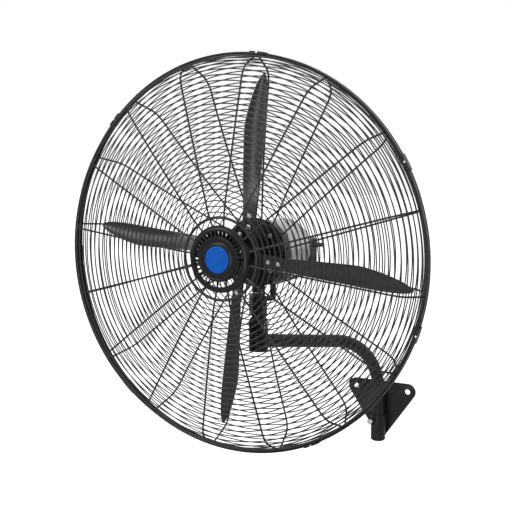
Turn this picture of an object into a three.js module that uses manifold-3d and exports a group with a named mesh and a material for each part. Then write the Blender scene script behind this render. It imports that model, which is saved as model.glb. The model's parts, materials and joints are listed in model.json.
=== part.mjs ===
// Oscillating wall fan: a wire guard with four slim blades, a motor head on a tilting neck,
// and a bent tube arm that swivels in a socket on a rounded triangular wall plate.
//
// Frame: millimetres, +Z up. The origin is on the back face of the wall plate, +Y points into the wall
// and the fan blows towards -Y. The head is drawn in its own frame: its origin is the centre of the
// guard's rim, and +Y runs back along the motor's axis.
import * as THREE from "three";
import { mergeVertices } from "three/addons/utils/BufferGeometryUtils.js";
import Module from "manifold-3d";

const wasm = await Module();
wasm.setup();

// ---------------------------------------------------------------- driving dimensions
const GAP = 0.3; // clearance between neighbouring pieces
const ROUND = 24; // facets of a large round piece
const TUBE_ROUND = 14; // facets of a tube
const PIN_ROUND = 8; // facets of a pin or a bolt
const RING_ROUND = 32; // facets of a guard ring
const BAND_ROUND = 48; // facets of the rim

// wall plate and socket
const PLATE_THICK = 5;
const PLATE_HOLE_R = 6;
const HOLE_SPACING = 120;
const LOBE_DROP = 88; // from the line of the two holes down to the centre of the lower lobe
const LOBE_R = 18;
const PIPE_R = 13.6;
const PIPE_WALL = 2;
const SOCKET_WALL = 1.8;
const SOCKET_LENGTH = 56;
const SOCKET_HANG = 2; // how far the socket's foot hangs below the plate
const SOCKET_STANDOFF = 17.5; // from the plate's front face to the socket's axis
const PLUG_DEPTH = 8;
const CLAMP_BOLT_R = 4;
const CLAMP_NUT_R = 7.5;
const CLAMP_NUT_THICK = 7;
const CLAMP_HEAD_THICK = 5.5;
const CLAMP_BOLT_DROP = 14; // below the socket's top
const CLAMP_BOLT_TURN = 25; // degrees, from straight out of the wall

// arm
const ARM_SWING = 31; // degrees, to the fan's right in the rest pose
const ARM_REACH = 310; // from the socket's axis to the neck's axis
const ARM_CLIMB = 6.5; // degrees, of the upper run towards the neck
const BEND_R = 130;
const BARREL_R = 19.5; // upright barrel of the clevis at the arm's end
const BARREL_LENGTH = 40;
const PIPE_RISE = 0.5; // of the tube above the barrel's middle

// neck; drops are below the motor's axis
const MOTOR_HEIGHT = 371; // of the motor's axis above the origin
const TILT_DROP = 146;
const TILT_BOSS_R = 14;
const TILT_BOSS_HALF = 10;
const TILT_BOLT_R = 5;
const TILT_HEAD_R = 8.5;
const TILT_HEAD_THICK = 4.5;
const EAR_THICK = 5;
const NECK_R = 13;
const NECK_TOP_DROP = 82.6;
const NECK_BLOCK_OUT = 25; // the neck's cast block reaches this far to the left of its axis
const NECK_BLOCK_TOP_DROP = 87;
const NECK_BLOCK_SLANT = 10; // the block's right top corner is cut off this far each way
const NECK_BLOCK_REACH = 13.6; // the block's front edges keep this near the axis, clear of the swinging guard
const PIVOT_R = 8;
const PIVOT_SEAT = 45; // length of the pivot shaft inside the neck
const WASHER_THICK = 2;
const OSCILLATION = 45; // degrees, each way
const LUG_X = 22; // the link's fixed pin, from the pivot shaft's axis
const LUG_Y = 20;
const LUG_R = 6;
const LUG_FOOT_DROP = 99;
const LUG_ARM_THICK = 9;
const LINK_DROP = 64.3; // top of the link
const LINK_THICK = 3;
const LINK_HALF = 5;
const LINK_PIN_R = 3;
const LINK_PIN_SEAT = 12;

// guard
const GUARD_R = 371.5; // to the centre of the rim wires
const FRONT_DEPTH = 56; // from the rim's plane to the wires round the front cap
const FRONT_SHOULDER = 46;
const REAR_DEPTH = 76;
const REAR_SHOULDER = 53;
const SHOULDER_R = 346;
const SHOULDER_ROUND = 20;
const RIM_SET = 3.6; // of each rim wire from the rim's plane
const SPOKES = 16;
const SPOKE_PHASE = 82.5; // degrees, from +X towards +Z
const SPOKE_WIRE_R = 1.8;
const RING_WIRE_R = 1.4;
const EYE_WIRE_R = 2.2;
const RIM_WIRE_R = 2.3;
const RING_COUNT = 5;
const FIRST_RING_R = 118;
const LAST_RING_R = 340;
const CROWN_R = 90; // the guard is deepest at this radius
const COLLAR_R = 76; // thick ring round the front cap
const COLLAR_WIRE_R = 2.8;
const FRONT_EYE_R = 38; // innermost ring of the front guard, behind the cap
const FRONT_DIP = 7; // how far the front wires dip behind the cap
const REAR_EYE_R = 62; // innermost ring of the rear guard, on its plate
const BAND_WALL = 1.5;
const BAND_LIP = 4;
const CLIP_ANGLES = [82, 28, -18, -64, -131, -178, 136]; // degrees
const CLIP_LENGTH = 30;
const CLIP_THICK = 1.6;
const GUARD_PLATE_R = 68;
const GUARD_PLATE_BORE = 26;
const GUARD_PLATE_THICK = 3;

// front cap
const CAP_R = 62;
const CAP_SKIRT = 4;
const CAP_RISE = 3; // of the middle over the slotted face
const CAP_WALL = 2.4;
const RAISED_RING_R = 36;
const RAISED_RING_WIDTH = 3;
const BADGE_R = 25;
const BADGE_THICK = 2.6;
const BADGE_RECESS = 1.6;
const SLOT_COUNT = 16;
const SLOT_IN = 42;
const SLOT_OUT = 53;
const SLOT_HALF = 2;
const CAP_PLATE_R = 41; // clamps the innermost wires, clear of the slots
const CAP_PLATE_THICK = 2;
const CAP_BOSS_R = 12;

// rotor
const BLADE_COUNT = 4;
const BLADE_PLANE = 33; // behind the rim's plane
const BLADE_THICK = 2;
const BLADE_CAMBER = 4;
const ROOT_FLAT_R = 96; // the blade keeps its root pitch and stays flat out to here
const ROOT_PITCH = 22; // degrees
const TIP_PITCH = 12; // degrees
const BLADE_WIDEST = 41;
// blade outline: [radius, width on the trailing side, width on the leading side]
const BLADE_OUTLINE = [
  [44, 9, 18],
  [80, 9, 18],
  [130, 15, 18],
  [180, 20, 17],
  [235, 25, 16],
  [265, 23, 15.5],
  [295, 18, 14],
  [320, 11.5, 11],
  [335, 5, 7],
  [342, 0.5, 3],
];
const HUB_R = 22;
const HUB_LENGTH = 26;
const HUB_ARM_R = 94;
const HUB_ARM_HALF = 12;
const HUB_ARM_THICK = 4;
const BLADE_SCREWS_AT = [54, 76];
const BLADE_SCREW_R = 2.5;
const BLADE_SCREW_HEAD_R = 5;
const BLADE_SCREW_HEAD_THICK = 3;
const SHAFT_R = 7.5;
const SHAFT_NOSE = 6; // the shaft's front end, behind the rim's plane
const HUB_NUT_R = 12;
const HUB_NUT_THICK = 10;
const ROTOR_AIR = 1; // between the rotor core and the stator

// motor
const MOTOR_FRONT = 84; // behind the rim's plane
const MOTOR_R = 60;
const MOTOR_WALL = 3;
const COVER_RIM_R = 62;
const COVER_EDGE = 5;
const FRONT_COVER_LENGTH = 34;
const BODY_LENGTH = 87;
const REAR_COVER_LENGTH = 50;
const REAR_FACE_R = 34;
const REAR_WAIST_R = 50; // the rear cover tapers to this radius where the wiring lead leaves it
const REAR_WAIST_AT = 31; // behind the rear cover's front edge
const COVER_BORE_R = 10;
const BEARING_R = 17.5;
const BEARING_WIDTH = 11;
const BEARING_BOSS = 4;
const STATOR_BORE_R = 33;
const STATOR_LENGTH = 70;
const MOUNT_HALF = 40;
const MOUNT_DROP = 63;
const MOUNT_LENGTH = 75;
const MOUNT_RISE = 16;

// gearbox behind the motor
const BOX_WALL = 3;
const BOX_ROOM = 1.5; // around the gears
const BOX_RISE = 12; // of its top above the motor's axis
const BOX_DROP = 51; // of its open underside below the motor's axis
const WORM_R = 6;
const WORM_LENGTH = 24;
const WORM_TURNS = 6;
const TOOTH_MODULE = 1;
const TOOTH_DEPTH = 1.2;
const WHEEL_TEETH = 36;
const PINION_TEETH = 8;
const CRANK_TEETH = 48;
const GEAR_THICK = 7;
const SPINDLE_R = 3;
const CRANK_SHAFT_R = 5;
const CRANK_BEHIND = 10; // the crank's axis behind the idler's axis
const CRANK_ARM_THICK = 5;
const CRANK_ARM_HALF = 7;
const CRANK_PIN_R = 3;
const KNOB_R = 9;
const KNOB_HEIGHT = 14;
const DIAL_R = 14;
const DIAL_LENGTH = 13;
const DIAL_SKIRT = 3;
const DIAL_GRIP_HALF = 4;
const DIAL_DROP = 24; // of the speed knob below the motor's axis
const GLAND_R = 8;
const GLAND_BORE_R = 4;
const GLAND_LENGTH = 16;
const LEAD_R = 3.5;
const LEAD_BOW = 24; // how far the wiring lead bows out to the side
const LEAD_RISE = 6; // of the wiring lead above the motor's axis

// ---------------------------------------------------------------- finishes
const finish = (color, roughness, metalness) => ({ color, roughness, metalness });
const BLACK_PAINT = finish(0x1d1d1e, 0.42, 0.3);
const BLACK_PLASTIC = finish(0x161617, 0.35, 0);
const BLADE_BLACK = finish(0x2a2a2c, 0.35, 0.4);
const SMOOTH_GREY = finish(0x77797c, 0.38, 0.7);
const ZINC = finish(0xc2c4c6, 0.3, 1);
const STEEL = finish(0x9a9ca0, 0.3, 1);
const LAMINATION = finish(0x5d5148, 0.6, 0.6);
const BRASS = finish(0xb08d46, 0.35, 1);
const BADGE_BLUE = finish(0x0055b3, 0.3, 0);
const RUBBER = finish(0x141414, 0.8, 0);

// ---------------------------------------------------------------- helpers
const rad = THREE.MathUtils.degToRad;
const deg = THREE.MathUtils.radToDeg;
const point = (x, y, z) => new THREE.Vector3(x, y, z);
const count = (n, make) => Array.from({ length: n }, (_, k) => make(k));

function solid(geometry) {
  const bare = geometry.clone();
  bare.deleteAttribute("normal");
  bare.deleteAttribute("uv");
  const merged = mergeVertices(bare, 1e-4);
  const mesh = new wasm.Mesh({
    numProp: 3,
    vertProperties: merged.attributes.position.array,
    triVerts: new Uint32Array(merged.index.array),
  });
  return new wasm.Manifold(mesh);
}

function surface(body) {
  const mesh = body.getMesh();
  const geometry = new THREE.BufferGeometry();
  geometry.setAttribute("position", new THREE.BufferAttribute(mesh.vertProperties, 3));
  geometry.setIndex(new THREE.BufferAttribute(mesh.triVerts, 1));
  return geometry;
}

// radius of a polygon's corners when its flats lie at `radius`
const corner = (radius, facets) => radius / Math.cos(Math.PI / facets);

// radius of a faceted bore that a pin of the given radius can turn in
const boreFor = (radius, facets = PIN_ROUND) => corner(radius + GAP, facets);

const join = (first, ...others) => others.reduce((whole, next) => whole.add(solid(next)), solid(first));
const cut = (whole, ...others) => others.reduce((rest, next) => rest.subtract(solid(next)), whole);

// a solid of revolution about +Y; the outline's points are [radius, height], and an outline that
// touches the axis starts and ends on it
function turned(outline, facets = ROUND) {
  const points = outline.map(([r, y]) => new THREE.Vector2(r, y));
  const upwards = THREE.ShapeUtils.area(points) > 0;
  if (outline[0][0] > 0) points.push(points[0].clone());
  return new THREE.LatheGeometry(upwards ? points : points.reverse(), facets);
}

function ringShape(inner, outer, from, to, facets) {
  const outline = [
    [inner, from],
    [outer, from],
    [outer, to],
    [inner, to],
  ];
  return turned(outline, facets);
}

const alongZ = (geometry) => geometry.rotateX(Math.PI / 2); // from the +Y axis to the +Z axis
const alongX = (geometry) => geometry.rotateZ(-Math.PI / 2); // from the +Y axis to the +X axis

function rodY(radius, from, to, facets = TUBE_ROUND) {
  const geometry = new THREE.CylinderGeometry(radius, radius, to - from, facets);
  return geometry.translate(0, (from + to) / 2, 0);
}

const rodZ = (radius, from, to, facets) => alongZ(rodY(radius, from, to, facets));
const rodX = (radius, from, to, facets) => alongX(rodY(radius, from, to, facets));

function block(x0, x1, y0, y1, z0, z1) {
  const geometry = new THREE.BoxGeometry(x1 - x0, y1 - y0, z1 - z0);
  return geometry.translate((x0 + x1) / 2, (y0 + y1) / 2, (z0 + z1) / 2);
}

// a closed skin over loops of equally many points, flat on the first and the last loop
function loft(loops) {
  const around = loops[0].length;
  const positions = loops.flat().flatMap((p) => [p.x, p.y, p.z]);
  const faces = [];
  for (let i = 0; i + 1 < loops.length; i++) {
    for (let j = 0; j < around; j++) {
      const a = i * around + j;
      const b = i * around + ((j + 1) % around);
      faces.push(a, b, b + around, a, b + around, a + around);
    }
  }
  const end = (loops.length - 1) * around;
  for (let j = 1; j + 1 < around; j++) {
    faces.push(0, j + 1, j, end, end + j, end + j + 1);
  }
  const geometry = new THREE.BufferGeometry();
  geometry.setAttribute("position", new THREE.Float32BufferAttribute(positions, 3));
  geometry.setIndex(faces);
  return geometry;
}

// a round bar along points that lie in a plane whose normal is `across`; its first edge is turned
// by `phase` degrees from `across`
function bar(points, radius, across, facets, phase = 0) {
  const loops = points.map((centre, k) => {
    const before = points[Math.max(k - 1, 0)];
    const after = points[Math.min(k + 1, points.length - 1)];
    const along = after.clone().sub(before).normalize();
    const side = new THREE.Vector3().crossVectors(along, across);
    return count(facets, (j) => {
      const turn = rad(phase) + (2 * Math.PI * j) / facets;
      const out = across.clone().multiplyScalar(radius * Math.cos(turn));
      return out.addScaledVector(side, radius * Math.sin(turn)).add(centre);
    });
  });
  return loft(loops);
}

function piece(name, shape, look) {
  const geometry = shape.isBufferGeometry ? shape : surface(shape);
  geometry.computeVertexNormals();
  const mesh = new THREE.Mesh(geometry, new THREE.MeshStandardMaterial(look));
  mesh.name = name;
  return mesh;
}

function groupAt(x, y, z, ...children) {
  const group = new THREE.Group();
  group.position.set(x, y, z);
  group.add(...children);
  return group;
}

// ---------------------------------------------------------------- wall bracket
const socketBore = boreFor(PIPE_R, TUBE_ROUND);
const socketR = socketBore + SOCKET_WALL;
const socketFoot = -LOBE_DROP / 2 - LOBE_R - SOCKET_HANG;
const socketTop = socketFoot + SOCKET_LENGTH;
const clampHeight = socketTop - CLAMP_BOLT_DROP;

function wallPlate() {
  const slope = Math.atan2(LOBE_DROP, HOLE_SPACING / 2);
  const top = LOBE_DROP / 2;
  const shape = new THREE.Shape();
  shape.absarc(HOLE_SPACING / 2, top, LOBE_R, slope - Math.PI / 2, Math.PI / 2, false);
  shape.absarc(-HOLE_SPACING / 2, top, LOBE_R, Math.PI / 2, 1.5 * Math.PI - slope, false);
  shape.absarc(0, -top, LOBE_R, 1.5 * Math.PI - slope, 1.5 * Math.PI + slope, false);
  shape.closePath();
  for (const side of [-1, 1]) {
    const hole = new THREE.Path();
    hole.absarc((side * HOLE_SPACING) / 2, top, PLATE_HOLE_R, 0, 2 * Math.PI, true);
    shape.holes.push(hole);
  }
  const options = { depth: PLATE_THICK, bevelEnabled: false, curveSegments: 8 };
  return new THREE.ExtrudeGeometry(shape, options).rotateX(Math.PI / 2);
}

// turns a piece drawn along +Y into the clamp bolt's line, which points out of the socket
function clampPose(geometry) {
  return geometry.rotateZ(Math.PI - rad(CLAMP_BOLT_TURN)).translate(0, 0, clampHeight);
}

function socketTube() {
  const back = SOCKET_STANDOFF - GAP;
  const tube = rodZ(socketR, socketFoot, socketTop);
  const web = block(-socketR * 0.7, socketR * 0.7, 0, back, socketFoot + SOCKET_HANG + 4, socketTop - 4);
  const bore = rodZ(socketBore, socketFoot - 1, socketTop + 1);
  const boltHole = clampPose(rodY(CLAMP_BOLT_R + GAP, 2, socketR + 4, PIN_ROUND));
  return cut(join(tube, web), bore, boltHole);
}

function swivelNut() {
  const nut = clampPose(rodY(CLAMP_NUT_R, socketR - 1.5, socketR + CLAMP_NUT_THICK, 6));
  const seat = rodZ(socketR + GAP, clampHeight - 2 * CLAMP_NUT_R, clampHeight + 2 * CLAMP_NUT_R);
  const hole = clampPose(rodY(CLAMP_BOLT_R + GAP, 2, socketR + 2 * CLAMP_NUT_THICK, PIN_ROUND));
  return cut(solid(nut), seat, hole);
}

function swivelBolt() {
  const head = socketR + CLAMP_NUT_THICK + GAP;
  const shank = clampPose(rodY(CLAMP_BOLT_R, PIPE_R + GAP, head + 1, PIN_ROUND));
  return join(shank, clampPose(rodY(CLAMP_NUT_R - 1, head, head + CLAMP_HEAD_THICK, 6)));
}

function socketPlug() {
  const outline = [
    [0, socketFoot - 4],
    [socketR - 2, socketFoot - 4],
    [socketR, socketFoot - 2],
    [socketR, socketFoot - GAP],
    [PIPE_R, socketFoot - GAP],
    [PIPE_R, socketFoot + PLUG_DEPTH],
    [0, socketFoot + PLUG_DEPTH],
  ];
  return alongZ(turned(outline, TUBE_ROUND));
}

const socketGroup = groupAt(
  0,
  -PLATE_THICK - SOCKET_STANDOFF,
  0,
  piece("pivot_socket", socketTube(), BLACK_PAINT),
  piece("socket_plug", socketPlug(), BLACK_PLASTIC),
  piece("swivel_nut", swivelNut(), BLACK_PAINT),
  piece("swivel_bolt", swivelBolt(), ZINC),
);

// ---------------------------------------------------------------- arm
// Drawn in the plane X = 0, with the socket's axis on Z and the neck's axis at y = -ARM_REACH.
const barrelTop = MOTOR_HEIGHT - TILT_DROP - TILT_BOSS_R - GAP;
const barrelFoot = barrelTop - BARREL_LENGTH;
const pipeAtNeck = (barrelTop + barrelFoot) / 2 + PIPE_RISE;

function armLine() {
  const climb = rad(ARM_CLIMB);
  const start = 4; // the tube is drawn from just behind the neck's axis, then coped to the barrel
  const bendStart = ARM_REACH - BEND_R + BEND_R * Math.sin(climb);
  const bendCentre = pipeAtNeck - bendStart * Math.tan(climb) - BEND_R * Math.cos(climb);
  const steps = 7;
  const bend = count(steps + 1, (k) => {
    const turn = climb + ((Math.PI / 2 - climb) * k) / steps;
    return point(0, BEND_R * Math.sin(turn) - BEND_R, bendCentre + BEND_R * Math.cos(turn));
  });
  return [
    point(0, start - ARM_REACH, pipeAtNeck - start * Math.tan(climb)),
    ...bend,
    point(0, 0, socketFoot + PLUG_DEPTH + GAP),
  ];
}

function armTube() {
  const points = armLine();
  const longer = points.map((p) => p.clone());
  longer[longer.length - 1].z -= 1;
  const whole = solid(bar(points, PIPE_R, point(1, 0, 0), TUBE_ROUND));
  const bore = bar(longer, PIPE_R - PIPE_WALL, point(1, 0, 0), TUBE_ROUND);
  const barrel = rodZ(BARREL_R + GAP, barrelFoot - 5, barrelTop + 5, ROUND);
  return cut(whole, bore, barrel.translate(0, -ARM_REACH, 0));
}

// The clevis, the neck and all above it are drawn about the neck's axis, with the motor's axis at z = 0.
const earInner = TILT_BOSS_HALF + GAP;
const earOuter = earInner + EAR_THICK;
const tiltHole = () => rodX(boreFor(TILT_BOLT_R), -2 * earOuter, 2 * earOuter, PIN_ROUND);

function clevis() {
  const top = barrelTop - MOTOR_HEIGHT;
  const barrel = rodZ(BARREL_R, barrelFoot - MOTOR_HEIGHT, top, ROUND);
  const ears = [-earOuter, earInner].flatMap((from) => {
    const half = TILT_BOSS_R - 2;
    const cheek = block(from, from + EAR_THICK, -half, half, top - 6, -TILT_DROP);
    const crown = rodX(TILT_BOSS_R, from, from + EAR_THICK).translate(0, 0, -TILT_DROP);
    return [cheek, crown];
  });
  const slot = block(-earInner, earInner, -2 * BARREL_R, 2 * BARREL_R, top, 0);
  return cut(join(barrel, ...ears), slot, tiltHole().translate(0, 0, -TILT_DROP));
}

function tiltBolt() {
  const face = earOuter + GAP;
  const shank = rodX(TILT_BOLT_R, -face - TILT_HEAD_THICK - 3, face + 1, PIN_ROUND);
  const head = rodX(TILT_HEAD_R, face, face + TILT_HEAD_THICK, 6);
  return join(shank, head).translate([0, 0, -TILT_DROP]);
}

function tiltNut() {
  const face = earOuter + GAP;
  const nut = rodX(TILT_HEAD_R, -face - TILT_HEAD_THICK, -face, 6);
  return cut(solid(nut), tiltHole()).translate([0, 0, -TILT_DROP]);
}

// ---------------------------------------------------------------- neck
const linkFoot = -LINK_DROP - LINK_THICK;
const lugTop = linkFoot - GAP;
const washerFoot = -NECK_TOP_DROP + GAP;
const bossFoot = washerFoot + WASHER_THICK + GAP;

// the square block round the post, as deep as the post; its front corners are cut off for the guard's swing
function neckBlock(foot) {
  const top = -NECK_BLOCK_TOP_DROP;
  const front = new THREE.Shape([
    new THREE.Vector2(-NECK_BLOCK_OUT, foot),
    new THREE.Vector2(NECK_R, foot),
    new THREE.Vector2(NECK_R, top - NECK_BLOCK_SLANT),
    new THREE.Vector2(NECK_R - NECK_BLOCK_SLANT, top),
    new THREE.Vector2(-NECK_BLOCK_OUT, top),
  ]);
  const options = { depth: 2 * NECK_R, bevelEnabled: false };
  const whole = new THREE.ExtrudeGeometry(front, options).rotateX(Math.PI / 2).translate(0, NECK_R, 0);
  const far = 2 * (NECK_BLOCK_OUT + NECK_R);
  const corners = [-OSCILLATION, OSCILLATION].map((turn) =>
    block(-far, far, -far, -NECK_BLOCK_REACH, foot - 1, top + 1).rotateZ(rad(turn)),
  );
  return cut(solid(whole), ...corners);
}

function neckPost() {
  const atLug = (geometry) => geometry.translate(LUG_X, LUG_Y, 0);
  const foot = -TILT_DROP + TILT_BOSS_R + 2;
  const boss = rodX(TILT_BOSS_R, -TILT_BOSS_HALF, TILT_BOSS_HALF).translate(0, 0, -TILT_DROP);
  const half = NECK_R - 1;
  const web = block(-TILT_BOSS_HALF, TILT_BOSS_HALF, -half, half, -TILT_DROP, -TILT_DROP + TILT_BOSS_R + 8);
  const post = rodZ(NECK_R, foot, -NECK_TOP_DROP);
  const reach = Math.hypot(LUG_X, LUG_Y);
  const lugArm = block(0, reach, -LUG_R, LUG_R, -LUG_FOOT_DROP, -LUG_FOOT_DROP + LUG_ARM_THICK);
  lugArm.rotateZ(Math.atan2(LUG_Y, LUG_X));
  const lug = atLug(rodZ(LUG_R, -LUG_FOOT_DROP, lugTop, PIN_ROUND));
  const bore = rodZ(PIVOT_R + GAP, -NECK_TOP_DROP - PIVOT_SEAT - GAP, -NECK_TOP_DROP + 1);
  const pinHole = atLug(rodZ(LINK_PIN_R + GAP, lugTop - LINK_PIN_SEAT - GAP, lugTop + 1, PIN_ROUND));
  const casting = join(boss, web, post, lugArm, lug).add(neckBlock(foot));
  return cut(casting, bore, tiltHole().translate(0, 0, -TILT_DROP), pinHole);
}

const pivotShaft = () => rodZ(PIVOT_R, -NECK_TOP_DROP - PIVOT_SEAT, -MOUNT_DROP - 1);
const linkPin = () =>
  rodZ(LINK_PIN_R, lugTop - LINK_PIN_SEAT, -LINK_DROP, PIN_ROUND).translate(LUG_X, LUG_Y, 0);
const thrustWasher = () =>
  alongZ(ringShape(PIVOT_R + GAP, NECK_R, washerFoot, washerFoot + WASHER_THICK, TUBE_ROUND));

// ---------------------------------------------------------------- gearing and linkage
const bodyFront = MOTOR_FRONT + FRONT_COVER_LENGTH + GAP;
const bodyBack = bodyFront + BODY_LENGTH;
const rearFront = bodyBack + GAP;
const motorBack = rearFront + REAR_COVER_LENGTH;
const pivotBack = MOTOR_FRONT + NECK_R; // the neck's axis behind the rim's plane
const wheelR = (WHEEL_TEETH * TOOTH_MODULE) / 2;
const pinionR = (PINION_TEETH * TOOTH_MODULE) / 2;
const crankGearR = (CRANK_TEETH * TOOTH_MODULE) / 2;
const boxFront = motorBack + GAP;
const idlerX = -(WORM_R + wheelR);
const idlerY = boxFront + BOX_WALL + BOX_ROOM + wheelR;
const crankX = idlerX + Math.sqrt((pinionR + crankGearR) ** 2 - CRANK_BEHIND ** 2);
const crankY = idlerY + CRANK_BEHIND;
const lidTop = -BOX_DROP - GAP;
const lidFoot = lidTop - BOX_WALL;
const crankArmTop = lidFoot - GAP;
const crankArmFoot = crankArmTop - CRANK_ARM_THICK;
const gearMiddle = -BOX_DROP + BOX_ROOM + GEAR_THICK / 2;

// how far the link's fixed pin is from the crank's axis when the head is turned by `turn` degrees
function pinToCrank(turn) {
  const pin = point(LUG_X, LUG_Y, 0).applyAxisAngle(point(0, 0, 1), -rad(turn));
  return pin.distanceTo(point(crankX, crankY - pivotBack, 0));
}

const crankThrow = (pinToCrank(OSCILLATION) - pinToCrank(-OSCILLATION)) / 2;
const linkLength = (pinToCrank(OSCILLATION) + pinToCrank(-OSCILLATION)) / 2;

// direction of the crank, in radians from +X, that closes the linkage when the head is straight
function crankRest() {
  const span = pinToCrank(0);
  const towardsLug = Math.atan2(LUG_Y - (crankY - pivotBack), LUG_X - crankX);
  const cosine = (span ** 2 + crankThrow ** 2 - linkLength ** 2) / (2 * span * crankThrow);
  return towardsLug + Math.acos(cosine);
}

function driveLink() {
  const crankEnd = point(crankThrow, 0, 0).applyAxisAngle(point(0, 0, 1), crankRest());
  crankEnd.add(point(crankX, crankY - pivotBack, 0));
  const direction = Math.atan2(crankEnd.y - LUG_Y, crankEnd.x - LUG_X);
  const ends = [0, linkLength];
  const strip = block(0, linkLength, -LINK_HALF, LINK_HALF, linkFoot, -LINK_DROP);
  const eyes = ends.map((x) => rodZ(LINK_HALF + 2, linkFoot, -LINK_DROP).translate(x, 0, 0));
  const holes = ends.map((x) => {
    const hole = rodZ(boreFor(LINK_PIN_R), linkFoot - 1, -LINK_DROP + 1, PIN_ROUND);
    return hole.translate(x, 0, 0);
  });
  return cut(join(strip, ...eyes), ...holes)
    .rotate([0, 0, deg(direction)])
    .translate([LUG_X, LUG_Y, 0]);
}

// a toothed wheel about +Z whose tooth tips stand half a gap inside the pitch circle
function gear(teeth, middle) {
  const pitchR = (teeth * TOOTH_MODULE) / 2;
  const shape = new THREE.Shape();
  for (let k = 0; k < 2 * teeth; k++) {
    const r = pitchR - (k % 2 ? TOOTH_DEPTH : GAP / 2);
    const turn = (Math.PI * k) / teeth;
    const draw = k ? "lineTo" : "moveTo";
    shape[draw](r * Math.cos(turn), r * Math.sin(turn));
  }
  shape.closePath();
  const options = { depth: GEAR_THICK, bevelEnabled: false };
  return new THREE.ExtrudeGeometry(shape, options).translate(0, 0, middle - GEAR_THICK / 2);
}

const spindleTop = GEAR_THICK / 2 + 3;

function idlerGear() {
  const wheel = gear(WHEEL_TEETH, 0);
  const pinion = gear(PINION_TEETH, gearMiddle);
  const spindle = rodZ(pinionR - TOOTH_DEPTH - GAP, gearMiddle - GEAR_THICK / 2 - 1, spindleTop, PIN_ROUND);
  return join(wheel, pinion, spindle).translate([idlerX, idlerY, 0]);
}

function crankGear() {
  const wheel = gear(CRANK_TEETH, gearMiddle);
  const shaft = rodZ(CRANK_SHAFT_R, crankArmFoot, gearMiddle + GEAR_THICK / 2 + 6, PIN_ROUND);
  return join(wheel, shaft).translate([crankX, crankY, 0]);
}

function crankArm() {
  const half = CRANK_ARM_HALF;
  const strip = block(0, crankThrow, -half, half, crankArmFoot, crankArmTop);
  const ends = [0, crankThrow].map((x) => rodZ(half + 2, crankArmFoot, crankArmTop).translate(x, 0, 0));
  const pin = rodZ(CRANK_PIN_R, -LINK_DROP + 1, crankArmFoot + 1, PIN_ROUND).translate(crankThrow, 0, 0);
  const hole = rodZ(boreFor(CRANK_SHAFT_R), crankArmFoot - 1, crankArmTop + 1, PIN_ROUND);
  return cut(join(strip, ...ends, pin), hole)
    .rotate([0, 0, deg(crankRest())])
    .translate([crankX, crankY, 0]);
}

const boxLeft = idlerX - wheelR - BOX_ROOM - BOX_WALL;
const boxRight = crankX + crankGearR + BOX_ROOM + BOX_WALL;
const boxBack = crankY + crankGearR + BOX_ROOM + BOX_WALL;

function gearHousing() {
  const w = BOX_WALL;
  const outside = block(boxLeft, boxRight, boxFront, boxBack, -BOX_DROP, BOX_RISE);
  const inside = block(boxLeft + w, boxRight - w, boxFront + w, boxBack - w, -BOX_DROP - 1, BOX_RISE - w);
  const shaftHole = rodY(COVER_BORE_R, boxFront - 1, boxFront + w + 1);
  const knobHole = rodZ(SPINDLE_R + GAP, 0, BOX_RISE + 1, PIN_ROUND).translate(idlerX, idlerY, 0);
  const dialHole = rodY(boreFor(SPINDLE_R), boxBack - w - 1, boxBack + 1, PIN_ROUND);
  return cut(solid(outside), inside, shaftHole, knobHole, dialHole.translate(0, 0, -DIAL_DROP));
}

function gearboxLid() {
  const lid = block(boxLeft, boxRight, boxFront, boxBack, lidFoot, lidTop);
  const hole = rodZ(boreFor(CRANK_SHAFT_R), lidFoot - 1, lidTop + 1, PIN_ROUND);
  return cut(solid(lid), hole.translate(crankX, crankY, 0));
}

function pullKnob() {
  const foot = BOX_RISE + GAP;
  const stem = rodZ(SPINDLE_R, spindleTop + GAP, foot + 1, PIN_ROUND);
  const head = rodZ(KNOB_R, foot, foot + KNOB_HEIGHT);
  return join(stem, head).translate([idlerX, idlerY, 0]);
}

function speedKnob() {
  const foot = boxBack + GAP;
  const stem = rodY(SPINDLE_R, boxBack - BOX_WALL, foot + 1, PIN_ROUND);
  const skirt = rodY(DIAL_R, foot, foot + DIAL_SKIRT);
  const half = DIAL_GRIP_HALF;
  const grip = block(-DIAL_R + 1, DIAL_R - 1, foot, foot + DIAL_LENGTH, -half, half);
  return join(stem, skirt, grip).translate([0, 0, -DIAL_DROP]);
}

function cordGland() {
  const from = boxLeft - GAP;
  const body = rodX(GLAND_R, from - GLAND_LENGTH, from, 12);
  const bore = rodX(GLAND_BORE_R, from - GLAND_LENGTH - 1, from + 1, PIN_ROUND);
  return cut(solid(body), bore).translate([0, crankY, -DIAL_DROP]);
}

// ---------------------------------------------------------------- motor
const frontBearing = MOTOR_FRONT + MOTOR_WALL + GAP;
const rearBearing = motorBack - MOTOR_WALL - GAP - BEARING_WIDTH;
const statorFront = (bodyFront + bodyBack - STATOR_LENGTH) / 2;
const bearingSeat = BEARING_R + GAP;

function frontCover() {
  const inner = COVER_RIM_R - MOTOR_WALL;
  const floor = MOTOR_FRONT + MOTOR_WALL;
  const back = MOTOR_FRONT + FRONT_COVER_LENGTH;
  return turned([
    [COVER_BORE_R, MOTOR_FRONT],
    [COVER_RIM_R - COVER_EDGE, MOTOR_FRONT],
    [COVER_RIM_R, MOTOR_FRONT + COVER_EDGE],
    [COVER_RIM_R, back],
    [inner, back],
    [inner, floor + COVER_EDGE],
    [inner - COVER_EDGE, floor],
    [bearingSeat + BEARING_BOSS, floor],
    [bearingSeat + BEARING_BOSS, frontBearing + BEARING_WIDTH],
    [bearingSeat, frontBearing + BEARING_WIDTH],
    [bearingSeat, floor],
    [COVER_BORE_R, floor],
  ]);
}

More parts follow.
